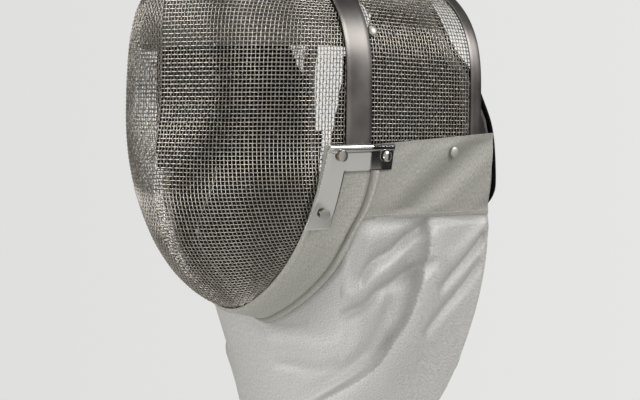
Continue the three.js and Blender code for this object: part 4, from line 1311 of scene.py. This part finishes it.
def soften(pad, finish, swell):
    """Even cells, a little smaller, blown up again, and smooth."""
    work_on(pad)
    pad.data.remesh_voxel_size = PAD_CELL
    bpy.ops.object.voxel_remesh()
    shrink = pad.modifiers.new("shrink", "DISPLACE")
    shrink.mid_level = 0
    shrink.strength = -swell * MM * SHRINK_SHARE
    bpy.ops.object.modifier_apply(modifier="shrink")
    blow_up(pad, swell)
    finer = pad.modifiers.new("finer", "SUBSURF")
    finer.levels = finer.render_levels = 1
    bpy.ops.object.modifier_apply(modifier="finer")
    bpy.ops.object.shade_smooth()
    pad.data.materials.clear()
    pad.data.materials.append(finish)
    return pad


def blow_up(pad, swell):
    rest = np.array([v.co for v in pad.data.vertices])
    cloth = pad.modifiers.new("cloth", "CLOTH")
    cloth.settings.use_pressure = True
    cloth.settings.uniform_pressure_force = PAD_PRESSURE
    cloth.settings.effector_weights.gravity = 0
    for number in range(1, PAD_FRAMES + 1):
        bpy.context.scene.frame_set(number)
    bpy.ops.object.modifier_apply(modifier="cloth")
    bpy.context.scene.frame_set(1)
    moved = np.array([v.co for v in pad.data.vertices]) - rest
    far = np.linalg.norm(moved, axis=1, keepdims=True)
    moved *= np.minimum(1, swell * MM / np.maximum(far, 1e-9))
    pad.data.vertices.foreach_set("co", (rest + moved).astype(np.float32).ravel())
    pad.data.update()


# %% Forehead and tongue pads
for node, name, swell in (("forehead_pad", "forehead_cushion", 2.4), ("tongue_pad", "tongue_cushion", 1.6)):
    pad = soften(pad_of(node, name), grey_pad_cloth, swell)
    place_piece(pad, "grey_pad", node)


# %% Side pads
# The pad on the wearer's right reaches further forward and lower than the one on the left, and there its
# black cloth also stands as painted shade inside the mask.
PAD_REAR_Y, PAD_TOP_Z, PAD_REAR_DROP, PAD_END_Z = 114, -16, 54, -125
PAD_SINK, PAD_THICK, PAD_SWELL = 5.0, 7.4, 2.0


def side_cushion(name, front_high, front_low, front_top, bottom):
    back = np.linspace(0, 1, 61)[None]
    up = np.linspace(0, 1, 51)[:, None]
    front = lerp(front_low, front_high, smoothstep(up, 0, 1))
    y = lerp(front, PAD_REAR_Y, back)
    top = lerp(front_top, PAD_TOP_Z, smoothstep(y, 2, 40)) - PAD_REAR_DROP * smoothstep(y, 62, PAD_REAR_Y)
    z = lerp(bottom, top, up)
    base = np.stack([side_x(y, np.maximum(z, PAD_END_Z)), y, z], axis=-1)
    pad = bent_grid(name, base - PAD_SINK * grid_outward(base), black_pad_and_shade)
    thicken(pad, thick=PAD_THICK, offset=-1)
    return soften(pad, black_pad_and_shade, PAD_SWELL)


for side, shape, flip in (("left", (-8, -20, -58, -134), 1), ("right", (-52, -52, -46, -150), -1)):
    pad = side_cushion(f"side_cushion_{side}", *shape)
    if flip < 0:
        pad.data.transform(Matrix.Scale(-1, 4, (1, 0, 0)))
        pad.data.flip_normals()
    place_piece(pad, "black_pad", f"side_pad_{side}")

# %% [markdown]
# ## Tongue
#
# A flat spring in a black cover hooks behind the head. It bends one way only, so a grid carried along
# its side view is enough. Its ends are rounded by the width of each row, and it is given thickness.

# %% Tongue
TONGUE_LINE = np.array([
    (92, -4.5), (122, -7), (141, -27), (160, -53), (178, -70),
    (192, -93), (203, -118), (206.5, -152), (205, -178), (201, -187),
], float)
TONGUE_STEPS, TONGUE_COLUMNS, TONGUE_HALF_WIDTH = 120, 25, 36
END_ROUND, ROOT_AHEAD, ROUNDEST = 26, 13, 0.97
TONGUE_LIFT, TONGUE_CROWN, TONGUE_THICK = 1.6, 0.4, 1.7
tongue_fine = smooth_rows(TONGUE_LINE, np.linspace(0, len(TONGUE_LINE) - 1, 400))
tongue_fine = np.stack([0 * tongue_fine[:, 0], tongue_fine[:, 0], tongue_fine[:, 1]], axis=1)
tongue_fine = spread(tongue_fine, TONGUE_STEPS)
tongue_length = lengths_along(tongue_fine)[-1]
tongue_share = np.linspace(0, 1, TONGUE_STEPS + 1)
from_end = np.minimum(1 - tongue_share, tongue_share + ROOT_AHEAD / tongue_length) * tongue_length
tongue_bend = np.clip(1 - from_end / END_ROUND, 0, ROUNDEST)
tongue_width = TONGUE_HALF_WIDTH * np.sqrt(1 - tongue_bend ** 2)
tongue_across = np.linspace(-1, 1, TONGUE_COLUMNS)[None]
tongue_base = np.repeat(tongue_fine[:, None], TONGUE_COLUMNS, axis=1)
tongue_base[..., 0] = tongue_across * tongue_width[:, None]
tongue_lift = TONGUE_LIFT + TONGUE_CROWN * (1 - tongue_across ** 4)
tongue_grid = tongue_base + tongue_lift[..., None] * grid_outward(tongue_base)
tongue = bent_grid("tongue_cover", tongue_grid, black_cover)
thicken(tongue, thick=TONGUE_THICK, offset=-1, edge=0.5)
place_piece(tongue, "black_pad", "tongue_shell")

# %% [markdown]
# ## Floor and cloth sizes
#
# The floor is stage, not part of the mask. Each piece of cloth says how large it was when it was cut.

# %% Floor
FLOOR_RADIUS, FLOOR_RING, FLOOR_Z = 3, 0.8, -1.6
clear_selection()
bpy.ops.mesh.primitive_circle_add(vertices=96, radius=FLOOR_RADIUS, fill_type="NGON", location=(0, 0, 0))
floor = bpy.context.object
floor.name = floor.data.name = "studio_floor"
bpy.ops.object.mode_set(mode="EDIT")
bpy.ops.mesh.select_all(action="SELECT")
bpy.ops.mesh.inset(thickness=FLOOR_RING)
bpy.ops.mesh.select_all(action="SELECT")
bpy.ops.transform.translate(value=(0, 0, FLOOR_Z))
bpy.ops.object.mode_set(mode="OBJECT")
floor_paint, _, floor_shader = new_finish("floor_paint")
floor_shader.inputs["Base Color"].default_value = (0.82, 0.82, 0.81, 1)
floor_shader.inputs["Roughness"].default_value = 0.9
floor.data.materials.append(floor_paint)


# %% Cloth sizes
def one_side_area(piece):
    return sum(face.area for face in piece.data.polygons) / 2


for piece in (bib, trim, flap_left, flap_right):
    print(piece.name, "area", round(one_side_area(piece), 4))
